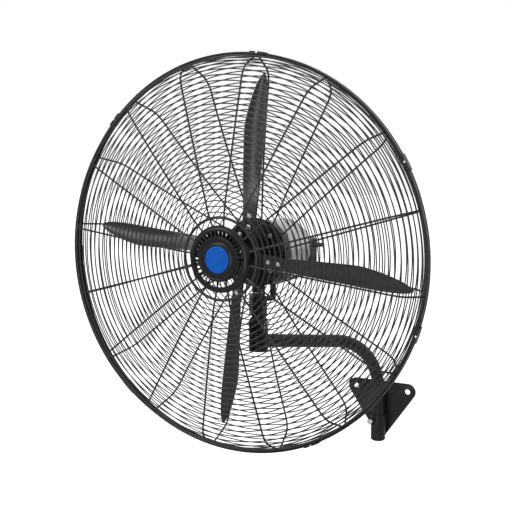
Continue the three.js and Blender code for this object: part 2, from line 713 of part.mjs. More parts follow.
function rearCover() {
  const floor = motorBack - MOTOR_WALL;
  const outer = [
    [MOTOR_R, rearFront],
    [MOTOR_R - 2, rearFront + REAR_WAIST_AT * 0.4],
    [REAR_WAIST_R, rearFront + REAR_WAIST_AT],
    [(REAR_WAIST_R + REAR_FACE_R) / 2 - 1, motorBack - 6],
    [REAR_FACE_R, motorBack],
  ];
  const inner = outer.map(([r, y]) => [r - MOTOR_WALL, y > rearFront ? y - MOTOR_WALL : y]);
  return turned([
    [COVER_BORE_R, motorBack],
    [COVER_BORE_R, floor],
    [bearingSeat, floor],
    [bearingSeat, rearBearing],
    [bearingSeat + BEARING_BOSS, rearBearing],
    [bearingSeat + BEARING_BOSS, floor],
    ...inner.reverse(),
    ...outer,
  ]);
}

function motorMount() {
  const front = MOTOR_FRONT;
  const back = front + MOUNT_LENGTH;
  const slab = block(-MOUNT_HALF, MOUNT_HALF, front, back, -MOUNT_DROP, -MOUNT_DROP + MOUNT_RISE);
  const boss = rodZ(NECK_R, bossFoot, -MOUNT_DROP + 1).translate(0, pivotBack, 0);
  const bore = rodZ(PIVOT_R + GAP, bossFoot - 1, -MOTOR_R / 2).translate(0, pivotBack, 0);
  const cover = rodY(COVER_RIM_R + GAP, front - 1, bodyFront, ROUND);
  const body = rodY(MOTOR_R + GAP, front - 1, back + 1, ROUND);
  return cut(join(slab, boss), bore, cover, body);
}

function wiringLead() {
  const start = point(REAR_WAIST_R + 2, rearFront + REAR_WAIST_AT, 0);
  const end = point(boxRight + GAP, idlerY, 0);
  const ramp = 4; // straight length where the lead leaves each wall
  const steps = 8;
  const bow = count(steps + 1, (k) => {
    const t = k / steps;
    const x = start.x + ramp + (end.x - start.x) * t + LEAD_BOW * Math.sin(Math.PI * t);
    return point(x, start.y + (end.y - start.y) * t, 0);
  });
  return bar([start, ...bow, end], LEAD_R, point(0, 0, 1), 8).translate(0, 0, LEAD_RISE - LEAD_R);
}

// ---------------------------------------------------------------- guard
// turns a ring about Y so that the middles of its flats face the spokes
const toSpokes = (geometry, facets) => geometry.rotateY(-rad(SPOKE_PHASE + 180 / facets));

// a three-sided ring whose sharp edge points along Y to the inside of the guard: `inwards` is 1 or -1
function hoop(radius, wireR, y, facets, inwards) {
  const r = corner(radius, facets);
  const back = y - (inwards * wireR) / 2;
  const half = wireR * Math.cos(Math.PI / 6);
  const outline = [
    [r - half, back],
    [r + half, back],
    [r, y + inwards * wireR],
  ];
  return toSpokes(turned(outline, facets).rotateY(-Math.PI / 2), facets);
}

// the line that a spoke follows from the rim inwards, as [radius, height] vectors
function cageLine(rim, shoulder, depth, innerR, innerY) {
  const edge = new THREE.Vector2(GUARD_R, rim);
  const knee = new THREE.Vector2(SHOULDER_R, shoulder);
  const crown = new THREE.Vector2(CROWN_R, depth);
  const before = knee.clone().lerp(edge, (0.7 * SHOULDER_ROUND) / knee.distanceTo(edge));
  const after = knee.clone().lerp(crown, SHOULDER_ROUND / knee.distanceTo(crown));
  const bend = new THREE.QuadraticBezierCurve(before, knee, after).getPoints(3);
  return [edge, ...bend, crown, new THREE.Vector2(innerR, innerY)];
}

function heightAt(line, radius) {
  const k = line.findIndex((p, i) => i > 0 && p.x <= radius);
  const t = (radius - line[k - 1].x) / (line[k].x - line[k - 1].x);
  return line[k - 1].y + t * (line[k].y - line[k - 1].y);
}

// rings stand on the outside of the spokes: `inwards` is 1 for the front cage and -1 for the rear one
function cage(line, eyeWireR, inwards) {
  const points = line.map((p) => point(p.x, p.y, 0));
  const eye = line[line.length - 1];
  const proud = inwards * (SPOKE_WIRE_R / 2 + RING_WIRE_R / 2);
  const hoops = [
    hoop(GUARD_R, RIM_WIRE_R, line[0].y, BAND_ROUND, inwards),
    hoop(eye.x, eyeWireR, eye.y, RING_ROUND, inwards),
  ];
  for (let k = 0; k < RING_COUNT; k++) {
    const radius = FIRST_RING_R + ((LAST_RING_R - FIRST_RING_R) * k) / (RING_COUNT - 1);
    hoops.push(hoop(radius, RING_WIRE_R, heightAt(line, radius) - proud, RING_ROUND, inwards));
  }
  const spokes = count(SPOKES, (k) => {
    const spoke = bar(points, SPOKE_WIRE_R, point(0, 0, 1), 3, 90 * inwards);
    return spoke.rotateY(-rad(SPOKE_PHASE + (360 * k) / SPOKES));
  });
  return join(...hoops, ...spokes);
}

const frontLine = cageLine(-RIM_SET, -FRONT_SHOULDER, -FRONT_DEPTH, FRONT_EYE_R, -FRONT_DEPTH + FRONT_DIP);
const guardPlateFront = MOTOR_FRONT - GAP - GUARD_PLATE_THICK;
const rearEyeY = guardPlateFront - GAP - EYE_WIRE_R / 2;
const rearLine = cageLine(RIM_SET, REAR_SHOULDER, REAR_DEPTH, REAR_EYE_R, rearEyeY);

function frontGuard() {
  const y = heightAt(frontLine, COLLAR_R) + SPOKE_WIRE_R;
  return cage(frontLine, SPOKE_WIRE_R, 1).add(solid(hoop(COLLAR_R, COLLAR_WIRE_R, y, RING_ROUND, -1)));
}

const rearGuard = () => cage(rearLine, EYE_WIRE_R, -1);
const guardPlate = () => ringShape(GUARD_PLATE_BORE, GUARD_PLATE_R, guardPlateFront, MOTOR_FRONT - GAP);

const bandInner = corner(GUARD_R, BAND_ROUND) + RIM_WIRE_R + GAP;
const bandOuter = bandInner + BAND_WALL;
const bandSeat = RIM_SET + RIM_WIRE_R + GAP;
const bandHalf = bandSeat + BAND_WALL;

function rimBand() {
  const lip = bandOuter - BAND_LIP;
  const outline = [
    [lip, -bandHalf],
    [bandOuter, -bandHalf],
    [bandOuter, bandHalf],
    [lip, bandHalf],
    [lip, bandSeat],
    [bandInner, bandSeat],
    [bandInner, -bandSeat],
    [lip, -bandSeat],
  ];
  return turned(outline, BAND_ROUND).rotateY(-rad(SPOKE_PHASE + 180 / BAND_ROUND - 90));
}

function rimClip(angle) {
  const half = CLIP_LENGTH / 2;
  const near = bandHalf + GAP;
  const far = near + CLIP_THICK;
  const inner = bandOuter + GAP;
  const outer = inner + CLIP_THICK;
  const back = block(inner, outer, -far, far, -half, half);
  const legs = [-far, near].map((y) => block(bandOuter - BAND_LIP, outer, y, y + CLIP_THICK, -half, half));
  return join(back, ...legs).rotate([0, -angle, 0]);
}

// ---------------------------------------------------------------- front cap
const capRimY = heightAt(frontLine, CAP_R) - SPOKE_WIRE_R - GAP;
const capFace = capRimY - CAP_SKIRT;
const capFront = capFace - CAP_RISE;
const capPlateFront = -FRONT_DEPTH + FRONT_DIP + SPOKE_WIRE_R + GAP;

function frontCap() {
  const w = CAP_WALL;
  const foot = capPlateFront - GAP;
  const ridge = capFront - BADGE_RECESS;
  const shoulder = (SLOT_OUT + CAP_R) / 2;
  const outline = [
    [0, capFront],
    [BADGE_R + GAP, capFront],
    [BADGE_R + GAP + 1, ridge],
    [RAISED_RING_R - RAISED_RING_WIDTH, capFront],
    [RAISED_RING_R - RAISED_RING_WIDTH / 2, ridge - 1],
    [RAISED_RING_R, capFront + 1],
    [shoulder, capFace],
    [CAP_R, capFace + CAP_SKIRT / 2],
    [CAP_R, capRimY],
    [CAP_R - w, capRimY],
    [CAP_R - w, capFace + w],
    [shoulder, capFace + w],
    [RAISED_RING_R, capFront + w + 1],
    [CAP_BOSS_R, capFront + w],
    [CAP_BOSS_R, foot],
    [0, foot],
  ];
  const slots = count(SLOT_COUNT, (k) => {
    const slot = block(SLOT_IN, SLOT_OUT, capFront - 3, capRimY + 3, -SLOT_HALF, SLOT_HALF);
    return slot.rotateY((2 * Math.PI * k) / SLOT_COUNT);
  });
  return cut(solid(turned(outline)), ...slots);
}

const capPlate = () => rodY(CAP_PLATE_R, capPlateFront, capPlateFront + CAP_PLATE_THICK, ROUND);
const badge = () => rodY(BADGE_R, capFront - GAP - BADGE_THICK, capFront - GAP, ROUND);

// ---------------------------------------------------------------- rotor
const [, rootTrailing, rootLeading] = BLADE_OUTLINE[0];
const tipR = BLADE_OUTLINE[BLADE_OUTLINE.length - 1][0];
const rootMiddle = (rootTrailing - rootLeading) / 2;

// a point of the blade that points along +X: `across` runs to its trailing side, `out` to its front
function bladePoint(radius, across, out) {
  const along = Math.max(radius - ROOT_FLAT_R, 0) / (tipR - ROOT_FLAT_R);
  const pitch = rad(ROOT_PITCH + (TIP_PITCH - ROOT_PITCH) * Math.sqrt(along));
  const y = BLADE_PLANE - across * Math.sin(pitch) - out * Math.cos(pitch);
  return point(radius, y, across * Math.cos(pitch) - out * Math.sin(pitch));
}

function bladeGeometry() {
  const steps = 3; // across the chord
  const loops = BLADE_OUTLINE.map(([radius, trailing, leading]) => {
    const width = leading + trailing;
    const fade = THREE.MathUtils.smoothstep(radius, ROOT_FLAT_R, 2 * ROOT_FLAT_R);
    const camber = (BLADE_CAMBER * fade * width) / BLADE_WIDEST;
    const side = (out) =>
      count(steps + 1, (k) => {
        const t = k / steps;
        return bladePoint(radius, width * t - leading, out - 4 * camber * t * (1 - t));
      });
    return [...side(-BLADE_THICK / 2), ...side(BLADE_THICK / 2).reverse()];
  });
  return loft(loops);
}

// places a piece drawn about the origin on the blade's root, square to it
function onRoot(geometry, radius) {
  const at = bladePoint(radius, rootMiddle, 0);
  return geometry.rotateX(rad(ROOT_PITCH)).translate(at.x, at.y, at.z);
}

const armFace = BLADE_THICK / 2 + GAP; // of the hub's arm behind the blade's middle
const screwHoles = () =>
  BLADE_SCREWS_AT.map((radius) => {
    const hole = rodY(BLADE_SCREW_R + GAP, -2 * armFace, armFace + 2 * HUB_ARM_THICK, PIN_ROUND);
    return onRoot(hole, radius);
  });

const bladeSolid = () => cut(solid(bladeGeometry()), ...screwHoles());

function bladeScrew(radius) {
  const shank = rodY(BLADE_SCREW_R, -armFace - 1, armFace + HUB_ARM_THICK + 2, PIN_ROUND);
  const head = rodY(BLADE_SCREW_HEAD_R, -armFace - BLADE_SCREW_HEAD_THICK, -armFace, PIN_ROUND);
  return join(onRoot(shank, radius), onRoot(head, radius));
}

const hubFront = BLADE_PLANE - HUB_LENGTH / 2;

function fanHub() {
  const strip = block(0, HUB_ARM_R, armFace, armFace + HUB_ARM_THICK, -HUB_ARM_HALF, HUB_ARM_HALF);
  const arm = cut(solid(onRoot(strip, 0)), ...screwHoles());
  const arms = count(BLADE_COUNT, (k) => arm.rotate([0, (-360 * k) / BLADE_COUNT, 0]));
  const barrel = solid(rodY(HUB_R, hubFront, hubFront + HUB_LENGTH, ROUND));
  const whole = arms.reduce((hub, next) => hub.add(next), barrel);
  const bore = rodY(SHAFT_R + GAP, hubFront - HUB_LENGTH, hubFront + 2 * HUB_LENGTH);
  return cut(whole, bore).rotate([0, -SPOKE_PHASE, 0]);
}

function hubNut() {
  const back = hubFront - GAP;
  const nut = rodY(HUB_NUT_R, back - HUB_NUT_THICK, back, 6);
  return cut(solid(nut), rodY(SHAFT_R + GAP, back - 2 * HUB_NUT_THICK, back + 1));
}

// the shaft, with the worm on its tail inside the gearbox
function rotorShaft() {
  const tip = WORM_R - GAP;
  const root = tip - TOOTH_DEPTH;
  const pitch = WORM_LENGTH / WORM_TURNS;
  const worm = count(WORM_TURNS, (k) => {
    const from = idlerY - WORM_LENGTH / 2 + k * pitch;
    const outline = [
      [0, from],
      [root, from],
      [tip, from + pitch / 2],
      [root, from + pitch],
      [0, from + pitch],
    ];
    return turned(outline, PIN_ROUND);
  });
  const shaft = rodY(SHAFT_R, SHAFT_NOSE, motorBack - MOTOR_WALL);
  const tail = rodY(root - GAP, motorBack - MOTOR_WALL - 1, idlerY + WORM_LENGTH / 2 + 2, PIN_ROUND);
  return join(shaft, tail, ...worm);
}

const statorRing = (inner, outer) => ringShape(inner, outer, statorFront, statorFront + STATOR_LENGTH);
const bearing = (front) => ringShape(SHAFT_R + GAP, BEARING_R, front, front + BEARING_WIDTH, TUBE_ROUND);

// ---------------------------------------------------------------- assembly
const blades = count(BLADE_COUNT, (k) => {
  const screws = BLADE_SCREWS_AT.map((radius, i) => {
    const number = k * BLADE_SCREWS_AT.length + i + 1;
    return piece("blade_screw_" + number, bladeScrew(radius), ZINC);
  });
  const blade = groupAt(0, 0, 0, piece("blade_" + (k + 1), bladeSolid(), BLADE_BLACK), ...screws);
  blade.rotation.y = -rad(SPOKE_PHASE + (360 * k) / BLADE_COUNT);
  return blade;
});

const rotor = groupAt(
  0,
  0,
  0,
  piece("rotor_shaft", rotorShaft(), STEEL),
  piece("rotor_core", statorRing(SHAFT_R + GAP, STATOR_BORE_R - ROTOR_AIR), LAMINATION),
  piece("fan_hub", fanHub(), BLACK_PAINT),
  piece("hub_nut", hubNut(), ZINC),
  ...blades,
);

const head = groupAt(
  0,
  -pivotBack,
  0,
  piece("motor_front_cover", frontCover(), BLACK_PAINT),
  piece("motor_body", ringShape(MOTOR_R - MOTOR_WALL, MOTOR_R, bodyFront, bodyBack), SMOOTH_GREY),
  piece("motor_rear_cover", rearCover(), SMOOTH_GREY),
  piece("stator", statorRing(STATOR_BORE_R, MOTOR_R - MOTOR_WALL - GAP), LAMINATION),
  piece("bearing_front", bearing(frontBearing), STEEL),
  piece("bearing_rear", bearing(rearBearing), STEEL),
  piece("motor_mount", motorMount(), BLACK_PAINT),
  piece("gear_housing", gearHousing(), BLACK_PLASTIC),
  piece("gearbox_lid", gearboxLid(), BLACK_PLASTIC),
  piece("idler_gear", idlerGear(), BRASS),
  piece("crank_gear", crankGear(), BRASS),
  piece("crank_arm", crankArm(), STEEL),
  piece("osc_knob", pullKnob(), BLACK_PLASTIC),
  piece("speed_knob", speedKnob(), BLACK_PLASTIC),
  piece("cord_gland", cordGland(), RUBBER),
  piece("wiring_lead", wiringLead(), RUBBER),
  piece("guard_plate", guardPlate(), BLACK_PAINT),
  piece("rear_guard", rearGuard(), BLACK_PAINT),
  piece("front_guard", frontGuard(), BLACK_PAINT),
  piece("rim_band", rimBand(), BLACK_PAINT),
  piece("front_cap", frontCap(), BLACK_PLASTIC),
  piece("cap_plate", capPlate(), BLACK_PAINT),
  piece("badge", badge(), BADGE_BLUE),
  ...CLIP_ANGLES.map((angle, k) => piece("rim_clip_" + (k + 1), rimClip(angle), BLACK_PAINT)),
  rotor,
);

const neck = groupAt(
  0,
  -ARM_REACH,
  MOTOR_HEIGHT,
  piece("clevis", clevis(), BLACK_PAINT),
  piece("tilt_bolt", tiltBolt(), ZINC),
  piece("tilt_nut", tiltNut(), ZINC),
  piece("neck_post", neckPost(), BLACK_PAINT),
  piece("pivot_shaft", pivotShaft(), STEEL),
  piece("thrust_washer", thrustWasher(), STEEL),
  piece("link_pin", linkPin(), STEEL),
  piece("drive_link", driveLink(), BLACK_PAINT),
  head,
);
neck.rotation.z = rad(ARM_SWING); // the head faces straight off the wall while the arm is swung

const arm = groupAt(0, -PLATE_THICK - SOCKET_STANDOFF, 0, piece("arm_tube", armTube(), BLACK_PAINT), neck);
arm.rotation.z = -rad(ARM_SWING);

const fan = groupAt(0, 0, 0, piece("wall_plate", wallPlate(), BLACK_PAINT), socketGroup, arm);
fan.name = "wall_fan";

export default fan;
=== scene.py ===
"""Oscillating wall fan with a wire guard, dressed around its CAD frame.

Lengths are written in millimetres and scaled to metres when a piece is made. The head is drawn about the
centre of the guard's rim (+Y runs back along the motor), the neck about its pivot at the motor's height,
and the socket about the arm's swivel.
"""
import json
import math

import bmesh
import bpy
from mathutils import Matrix, Vector


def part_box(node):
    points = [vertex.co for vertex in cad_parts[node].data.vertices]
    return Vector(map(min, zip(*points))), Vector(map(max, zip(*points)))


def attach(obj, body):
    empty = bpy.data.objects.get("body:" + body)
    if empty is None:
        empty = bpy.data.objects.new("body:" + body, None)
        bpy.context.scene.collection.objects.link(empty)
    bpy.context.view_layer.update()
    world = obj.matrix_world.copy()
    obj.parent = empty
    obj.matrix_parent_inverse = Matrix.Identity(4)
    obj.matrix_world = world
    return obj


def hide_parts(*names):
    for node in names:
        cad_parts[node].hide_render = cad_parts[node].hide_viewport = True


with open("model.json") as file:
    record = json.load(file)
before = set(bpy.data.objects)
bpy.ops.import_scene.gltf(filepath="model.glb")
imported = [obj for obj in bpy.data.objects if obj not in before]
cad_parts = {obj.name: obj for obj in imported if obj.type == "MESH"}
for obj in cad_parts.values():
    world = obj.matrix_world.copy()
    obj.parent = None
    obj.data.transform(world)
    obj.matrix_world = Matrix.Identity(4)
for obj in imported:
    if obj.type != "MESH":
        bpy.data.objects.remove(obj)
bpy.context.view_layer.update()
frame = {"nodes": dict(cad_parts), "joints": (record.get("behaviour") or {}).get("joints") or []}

MM = 0.001
TURN = 2 * math.pi
JOINT_AT = {joint["name"]: joint.get("pos_m") for joint in frame["joints"]}


def middle(node):
    """The middle of a CAD node's box, in millimetres."""
    low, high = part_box(node)
    return (low + high) / 2 / MM


HEAD = middle("rim_band")
PIVOT = Vector((HEAD.x, JOINT_AT["head_oscillation"][1] / MM, HEAD.z))
SOCKET = Vector(JOINT_AT["arm_swivel"]) / MM
ARM_SWING = math.atan2(HEAD.x - SOCKET.x, SOCKET.y - PIVOT.y)
AT_HEAD = Matrix.Translation(HEAD)
AT_PIVOT = Matrix.Translation(PIVOT)
AT_SOCKET = Matrix.Translation(SOCKET)
AT_ARM = AT_SOCKET @ Matrix.Rotation(ARM_SWING, 4, "Z")
TO_Y = Matrix.Rotation(math.pi / 2, 4, "X")


# ---------------------------------------------------------------- materials
def new_material(name, color, roughness, metallic=0.0, specular=0.5, coat=0.0):
    """A principled material whose plain numbers sit on the shader's own sockets."""
    material = bpy.data.materials.new(name)
    material.use_nodes = True
    shader = material.node_tree.nodes["Principled BSDF"]
    shader.inputs["Base Color"].default_value = (*color, 1)
    shader.inputs["Roughness"].default_value = roughness
    shader.inputs["Metallic"].default_value = metallic
    shader.inputs["Specular IOR Level"].default_value = specular
    shader.inputs["Coat Weight"].default_value = coat
    shader.inputs["Coat Roughness"].default_value = 0.12
    return material


def noise_of(material, scale, detail=3.0, stretch=(1, 1, 1)):
    """A noise over the object's own metres; scale is in features a metre."""
    nodes, links = material.node_tree.nodes, material.node_tree.links
    place = nodes.new("ShaderNodeTexCoord")
    mapping = nodes.new("ShaderNodeMapping")
    mapping.inputs["Scale"].default_value = stretch
    texture = nodes.new("ShaderNodeTexNoise")
    texture.inputs["Scale"].default_value = scale
    texture.inputs["Detail"].default_value = detail
    links.new(place.outputs["Object"], mapping.inputs["Vector"])
    links.new(mapping.outputs["Vector"], texture.inputs["Vector"])
    return texture.outputs["Fac"]


def vary(material, source, socket, low, high):
    """Runs a socket from low to high over a noise; low and high are numbers or colours."""
    nodes, links = material.node_tree.nodes, material.node_tree.links
    shader = nodes["Principled BSDF"]
    ramp = nodes.new("ShaderNodeValToRGB")
    ramp.color_ramp.elements[0].position = 0.3
    ramp.color_ramp.elements[1].position = 0.7
    ends = [value if isinstance(value, tuple) else (value, value, value) for value in (low, high)]
    for element, value in zip(ramp.color_ramp.elements, ends):
        element.color = (*value, 1)
    links.new(source, ramp.inputs["Fac"])
    links.new(ramp.outputs["Color"], shader.inputs[socket])


def bump(material, source, depth):
    """Relief from a noise; depth is in millimetres."""
    nodes, links = material.node_tree.nodes, material.node_tree.links
    node = nodes.new("ShaderNodeBump")
    node.inputs["Distance"].default_value = depth * MM
    links.new(source, node.inputs["Height"])
    links.new(node.outputs["Normal"], nodes["Principled BSDF"].inputs["Normal"])


def painted(name, color, roughness, spread=0.08, peel=0.05, specular=0.5):
    """Powder coat: a fine orange peel, cloudy gloss and a slight drift of tone."""
    material = new_material(name, color, roughness, specular=specular)
    brighter = tuple(1.5 * c for c in color)
    vary(material, noise_of(material, 60), "Base Color", color, brighter)
    vary(material, noise_of(material, 25, 5), "Roughness", roughness - spread, roughness + spread)
    bump(material, noise_of(material, 900, 2), peel)
    return material


def moulded(name, color, roughness, specular=0.2):
    """Moulded plastic: a fine spark-eroded grain."""
    material = new_material(name, color, roughness, specular=specular)
    vary(material, noise_of(material, 45), "Base Color", color, tuple(1.35 * c for c in color))
    vary(material, noise_of(material, 300, 4), "Roughness", roughness - 0.05, roughness + 0.07)
    bump(material, noise_of(material, 2600, 2), 0.02)
    return material


def plated(name, color, roughness, spread=0.1, stretch=(1, 1, 1)):
    """Bare or plated metal with fine working marks."""
    material = new_material(name, color, roughness, metallic=1.0)
    vary(material, noise_of(material, 120, 4), "Base Color", tuple(0.75 * c for c in color), color)
    vary(material, noise_of(material, 700, 4, stretch), "Roughness", roughness - spread, roughness + spread)
    bump(material, noise_of(material, 1500, 2, stretch), 0.015)
    return material


BLACK = painted("black_paint", (0.008, 0.008, 0.009), 0.33, specular=0.2)
WIRE = painted("wire_paint", (0.009, 0.009, 0.010), 0.28, peel=0.03, specular=0.42)
PLASTIC = moulded("black_plastic", (0.006, 0.006, 0.007), 0.26)
BLADE = painted("blade_paint", (0.014, 0.014, 0.015), 0.24, spread=0.05, peel=0.03, specular=0.5)
GREY = plated("smooth_grey", (0.44, 0.45, 0.46), 0.28, spread=0.05)
ZINC = plated("zinc", (0.72, 0.73, 0.75), 0.26)
STEEL = plated("steel", (0.42, 0.43, 0.45), 0.30, stretch=(1, 1, 6))
LAMINATION = plated("lamination", (0.16, 0.12, 0.09), 0.55, stretch=(1, 12, 1))
BRASS = plated("brass", (0.55, 0.38, 0.12), 0.32)
BLUE = moulded("badge_blue", (0.0, 0.072, 0.35), 0.28)
RUBBER = moulded("rubber", (0.010, 0.010, 0.010), 0.62, specular=0.3)
POINTER = moulded("pointer_paint", (0.75, 0.75, 0.73), 0.45)


# ---------------------------------------------------------------- skins: (points, faces)
def merged(*skins):
    points, faces = [], []
    for some_points, some_faces in skins:
        first = len(points)
        points += some_points
        faces += [[first + corner for corner in face] for face in some_faces]
    return points, faces


def placed(skin, matrix):
    return [matrix @ point for point in skin[0]], skin[1]


def around_y(skin, degrees):
    """Turns a skin about the motor's axis, from +X towards +Z."""
    return placed(skin, Matrix.Rotation(-math.radians(degrees), 4, "Y"))


def lofted(loops, closed=False, capped=True):
    """Joins loops of equally many points; open runs get flat ends."""
    size = len(loops[0])
    points = [point for loop in loops for point in loop]
    faces = []
    for i in range(len(loops) if closed else len(loops) - 1):
        low, high = i * size, ((i + 1) % len(loops)) * size
        for j in range(size):
            k = (j + 1) % size
            faces.append([low + j, low + k, high + k, high + j])
    if capped and not closed:
        faces.append(list(range(size))[::-1])
        faces.append([len(points) - size + j for j in range(size)])
    return points, faces


def wire(points, radius, sides=8, closed=False):
    """A round wire along points; its ends are slightly domed."""
    count = len(points)
    loops = []
    side = None
    for k, centre in enumerate(points):
        before = points[k - 1] if closed or k else centre
        after = points[(k + 1) % count] if closed or k + 1 < count else centre
        along = (after - before).normalized()
        if side is None:
            side = along.orthogonal().normalized()
        side = (side - along * side.dot(along)).normalized()
        up = along.cross(side)
        ring = [math.cos(TURN * j / sides) * side + math.sin(TURN * j / sides) * up for j in range(sides)]
        loops.append([centre + radius * out for out in ring])
        if not closed and k in (0, count - 1):
            dome = along * (radius * 0.4 if k else -radius * 0.4)
            tip = [centre + dome + 0.6 * radius * out for out in ring]
            loops.insert(len(loops) if k else 0, tip)
    return lofted(loops, closed)


def hoop(radius, wire_radius, y, steps=128, sides=8):
    points = [
        Vector((radius * math.cos(TURN * k / steps), y, radius * math.sin(TURN * k / steps)))
        for k in range(steps)
    ]
    loops = []
    back = Vector((0, 1, 0))
    for point in points:
        out = Vector((point.x, 0, point.z)) / radius
        loops.append([
            point + wire_radius * (math.cos(TURN * j / sides) * out + math.sin(TURN * j / sides) * back)
            for j in range(sides)
        ])
    return lofted(loops, closed=True)


def turned(outline, steps=96):
    """A lathe about +Y; outline points are (radius, height) and those on the axis end it."""
    loops = []
    for k in range(steps):
        c, s = math.cos(TURN * k / steps), math.sin(TURN * k / steps)
        loops.append([Vector((r * c, y, r * s)) for r, y in outline])
    size = len(outline)
    points = [point for loop in loops for point in loop]
    faces = []
    on_axis = outline[0][0] < 1e-6
    for k in range(steps):
        low, high = k * size, ((k + 1) % steps) * size
        for j in range(size - 1 if on_axis else size):
            n = (j + 1) % size
            faces.append([low + j, high + j, high + n, low + n])
    return points, faces


def rounded(outline, radius, steps=4, closed=True):
    """Rounds the corners of an outline; radius is one number, or one for each corner."""
    count = len(outline)
    radii = radius if isinstance(radius, (list, tuple)) else [radius] * count
    result = []
    for k, corner in enumerate(outline):
        here = Vector(corner)
        if radii[k] <= 0 or (not closed and k in (0, count - 1)):
            result.append(tuple(here))
            continue
        before, after = Vector(outline[k - 1]) - here, Vector(outline[(k + 1) % count]) - here
        reach = min(radii[k], 0.48 * before.length, 0.48 * after.length)
        start, end = here + before.normalized() * reach, here + after.normalized() * reach
        for i in range(steps + 1):
            t = i / steps
            result.append(tuple(start * (1 - t) ** 2 + here * 2 * t * (1 - t) + end * t * t))
    return result


def circle(radius, x=0.0, y=0.0, steps=40, phase=0.0):
    return [
        (x + radius * math.cos(phase + TURN * k / steps), y + radius * math.sin(phase + TURN * k / steps))
        for k in range(steps)
    ]


def sheet_cut(outlines, thickness, edge=0.5):
    """A flat part in XY with rounded edges, from z = 0 to its thickness; inner outlines are holes."""
    curve = bpy.data.curves.new("cut", "CURVE")
    curve.dimensions = "2D"
    curve.fill_mode = "BOTH"
    curve.extrude = thickness / 2 - edge
    curve.bevel_depth = edge
    curve.bevel_resolution = 2
    curve.offset = -edge
    for outline in outlines:
        spline = curve.splines.new("POLY")
        spline.points.add(len(outline) - 1)
        for point, (x, y) in zip(spline.points, outline):
            point.co = (x, y, 0, 1)
        spline.use_cyclic_u = True
    carrier = bpy.data.objects.new("cut", curve)
    bpy.context.scene.collection.objects.link(carrier)
    mesh = bpy.data.meshes.new_from_object(carrier.evaluated_get(bpy.context.evaluated_depsgraph_get()))
    points = [vertex.co + Vector((0, 0, thickness / 2)) for vertex in mesh.vertices]
    faces = [list(polygon.vertices) for polygon in mesh.polygons]
    bpy.data.objects.remove(carrier)
    bpy.data.curves.remove(curve)
    bpy.data.meshes.remove(mesh)
    return points, faces


def block(low, high, corner=2.0, edge=0.6):
    """A block with rounded upright corners and softened edges."""
    outline = [(low[0], low[1]), (high[0], low[1]), (high[0], high[1]), (low[0], high[1])]
    skin = sheet_cut([rounded(outline, corner)], high[2] - low[2], edge)
    return placed(skin, Matrix.Translation((0, 0, low[2])))


def spun(outline, steps=64):
    """A lathe about +Z."""
    return placed(turned(outline, steps), TO_Y)


def rod(radius, low, high, edge=0.6, steps=40):
    """An upright round bar along Z with softened ends."""
    edge = min(edge, radius / 2)
    outline = [(0, low), (radius - edge, low), (radius, low + edge), (radius, high - edge)]
    outline += [(radius - edge, high), (0, high)]
    return spun(rounded(outline, edge * 0.6, 2, closed=False), steps)


def hexagon(radius, low, high, bore=0.0):
    """A chamfered hexagon along Z, with a bore if it is a nut."""
    outlines = [circle(radius, steps=6)]
    if bore:
        outlines.append(circle(bore, steps=24))
    return placed(sheet_cut(outlines, high - low, 0.8), Matrix.Translation((0, 0, low)))


def crease(bm, sharp):
    """Marks the edges that turn by more than sharp degrees."""
    limit = math.radians(sharp)
    for edge in bm.edges:
        edge.smooth = len(edge.link_faces) == 2 and edge.calc_face_angle(0) < limit


def make(name, skin, matrix, body, material, replaces=(), sharp=32):
    """Turns a skin into a piece that rides on a body."""
    bm = bmesh.new()
    corners = [bm.verts.new((matrix @ point) * MM) for point in skin[0]]
    for face in skin[1]:
        if len(set(face)) > 2:
            bm.faces.new([corners[k] for k in face])
    bmesh.ops.remove_doubles(bm, verts=bm.verts, dist=1e-6)
    bmesh.ops.dissolve_degenerate(bm, edges=bm.edges, dist=1e-7)
    bmesh.ops.recalc_face_normals(bm, faces=bm.faces)
    for face in bm.faces:
        face.smooth = True
    crease(bm, sharp)
    mesh = bpy.data.meshes.new(name)
    bm.to_mesh(mesh)
    bm.free()
    mesh.materials.append(material)
    piece = bpy.data.objects.new(name, mesh)
    bpy.context.scene.collection.objects.link(piece)
    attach(piece, body)
    if replaces:
        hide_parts(*replaces)
    return piece


def carve(piece, skin, matrix, sharp=32):
    """Cuts a skin out of a piece."""
    mesh = bpy.data.meshes.new("cutter")
    mesh.from_pydata([(matrix @ point) * MM for point in skin[0]], [], skin[1])
    bm = bmesh.new()
    bm.from_mesh(mesh)
    bmesh.ops.remove_doubles(bm, verts=bm.verts, dist=1e-6)
    bmesh.ops.recalc_face_normals(bm, faces=bm.faces)
    bm.to_mesh(mesh)
    bm.free()
    cutter = bpy.data.objects.new("cutter", mesh)
    bpy.context.scene.collection.objects.link(cutter)
    modifier = piece.modifiers.new("cut", "BOOLEAN")
    modifier.operation = "DIFFERENCE"
    modifier.solver = "EXACT"
    modifier.object = cutter
    bpy.context.view_layer.update()
    evaluated = piece.evaluated_get(bpy.context.evaluated_depsgraph_get())
    result = bpy.data.meshes.new_from_object(evaluated)
    piece.modifiers.clear()
    old = piece.data
    piece.data = result
    bpy.data.meshes.remove(old)
    bpy.data.objects.remove(cutter)
    bm = bmesh.new()
    bm.from_mesh(result)
    crease(bm, sharp)
    bm.to_mesh(result)
    bm.free()


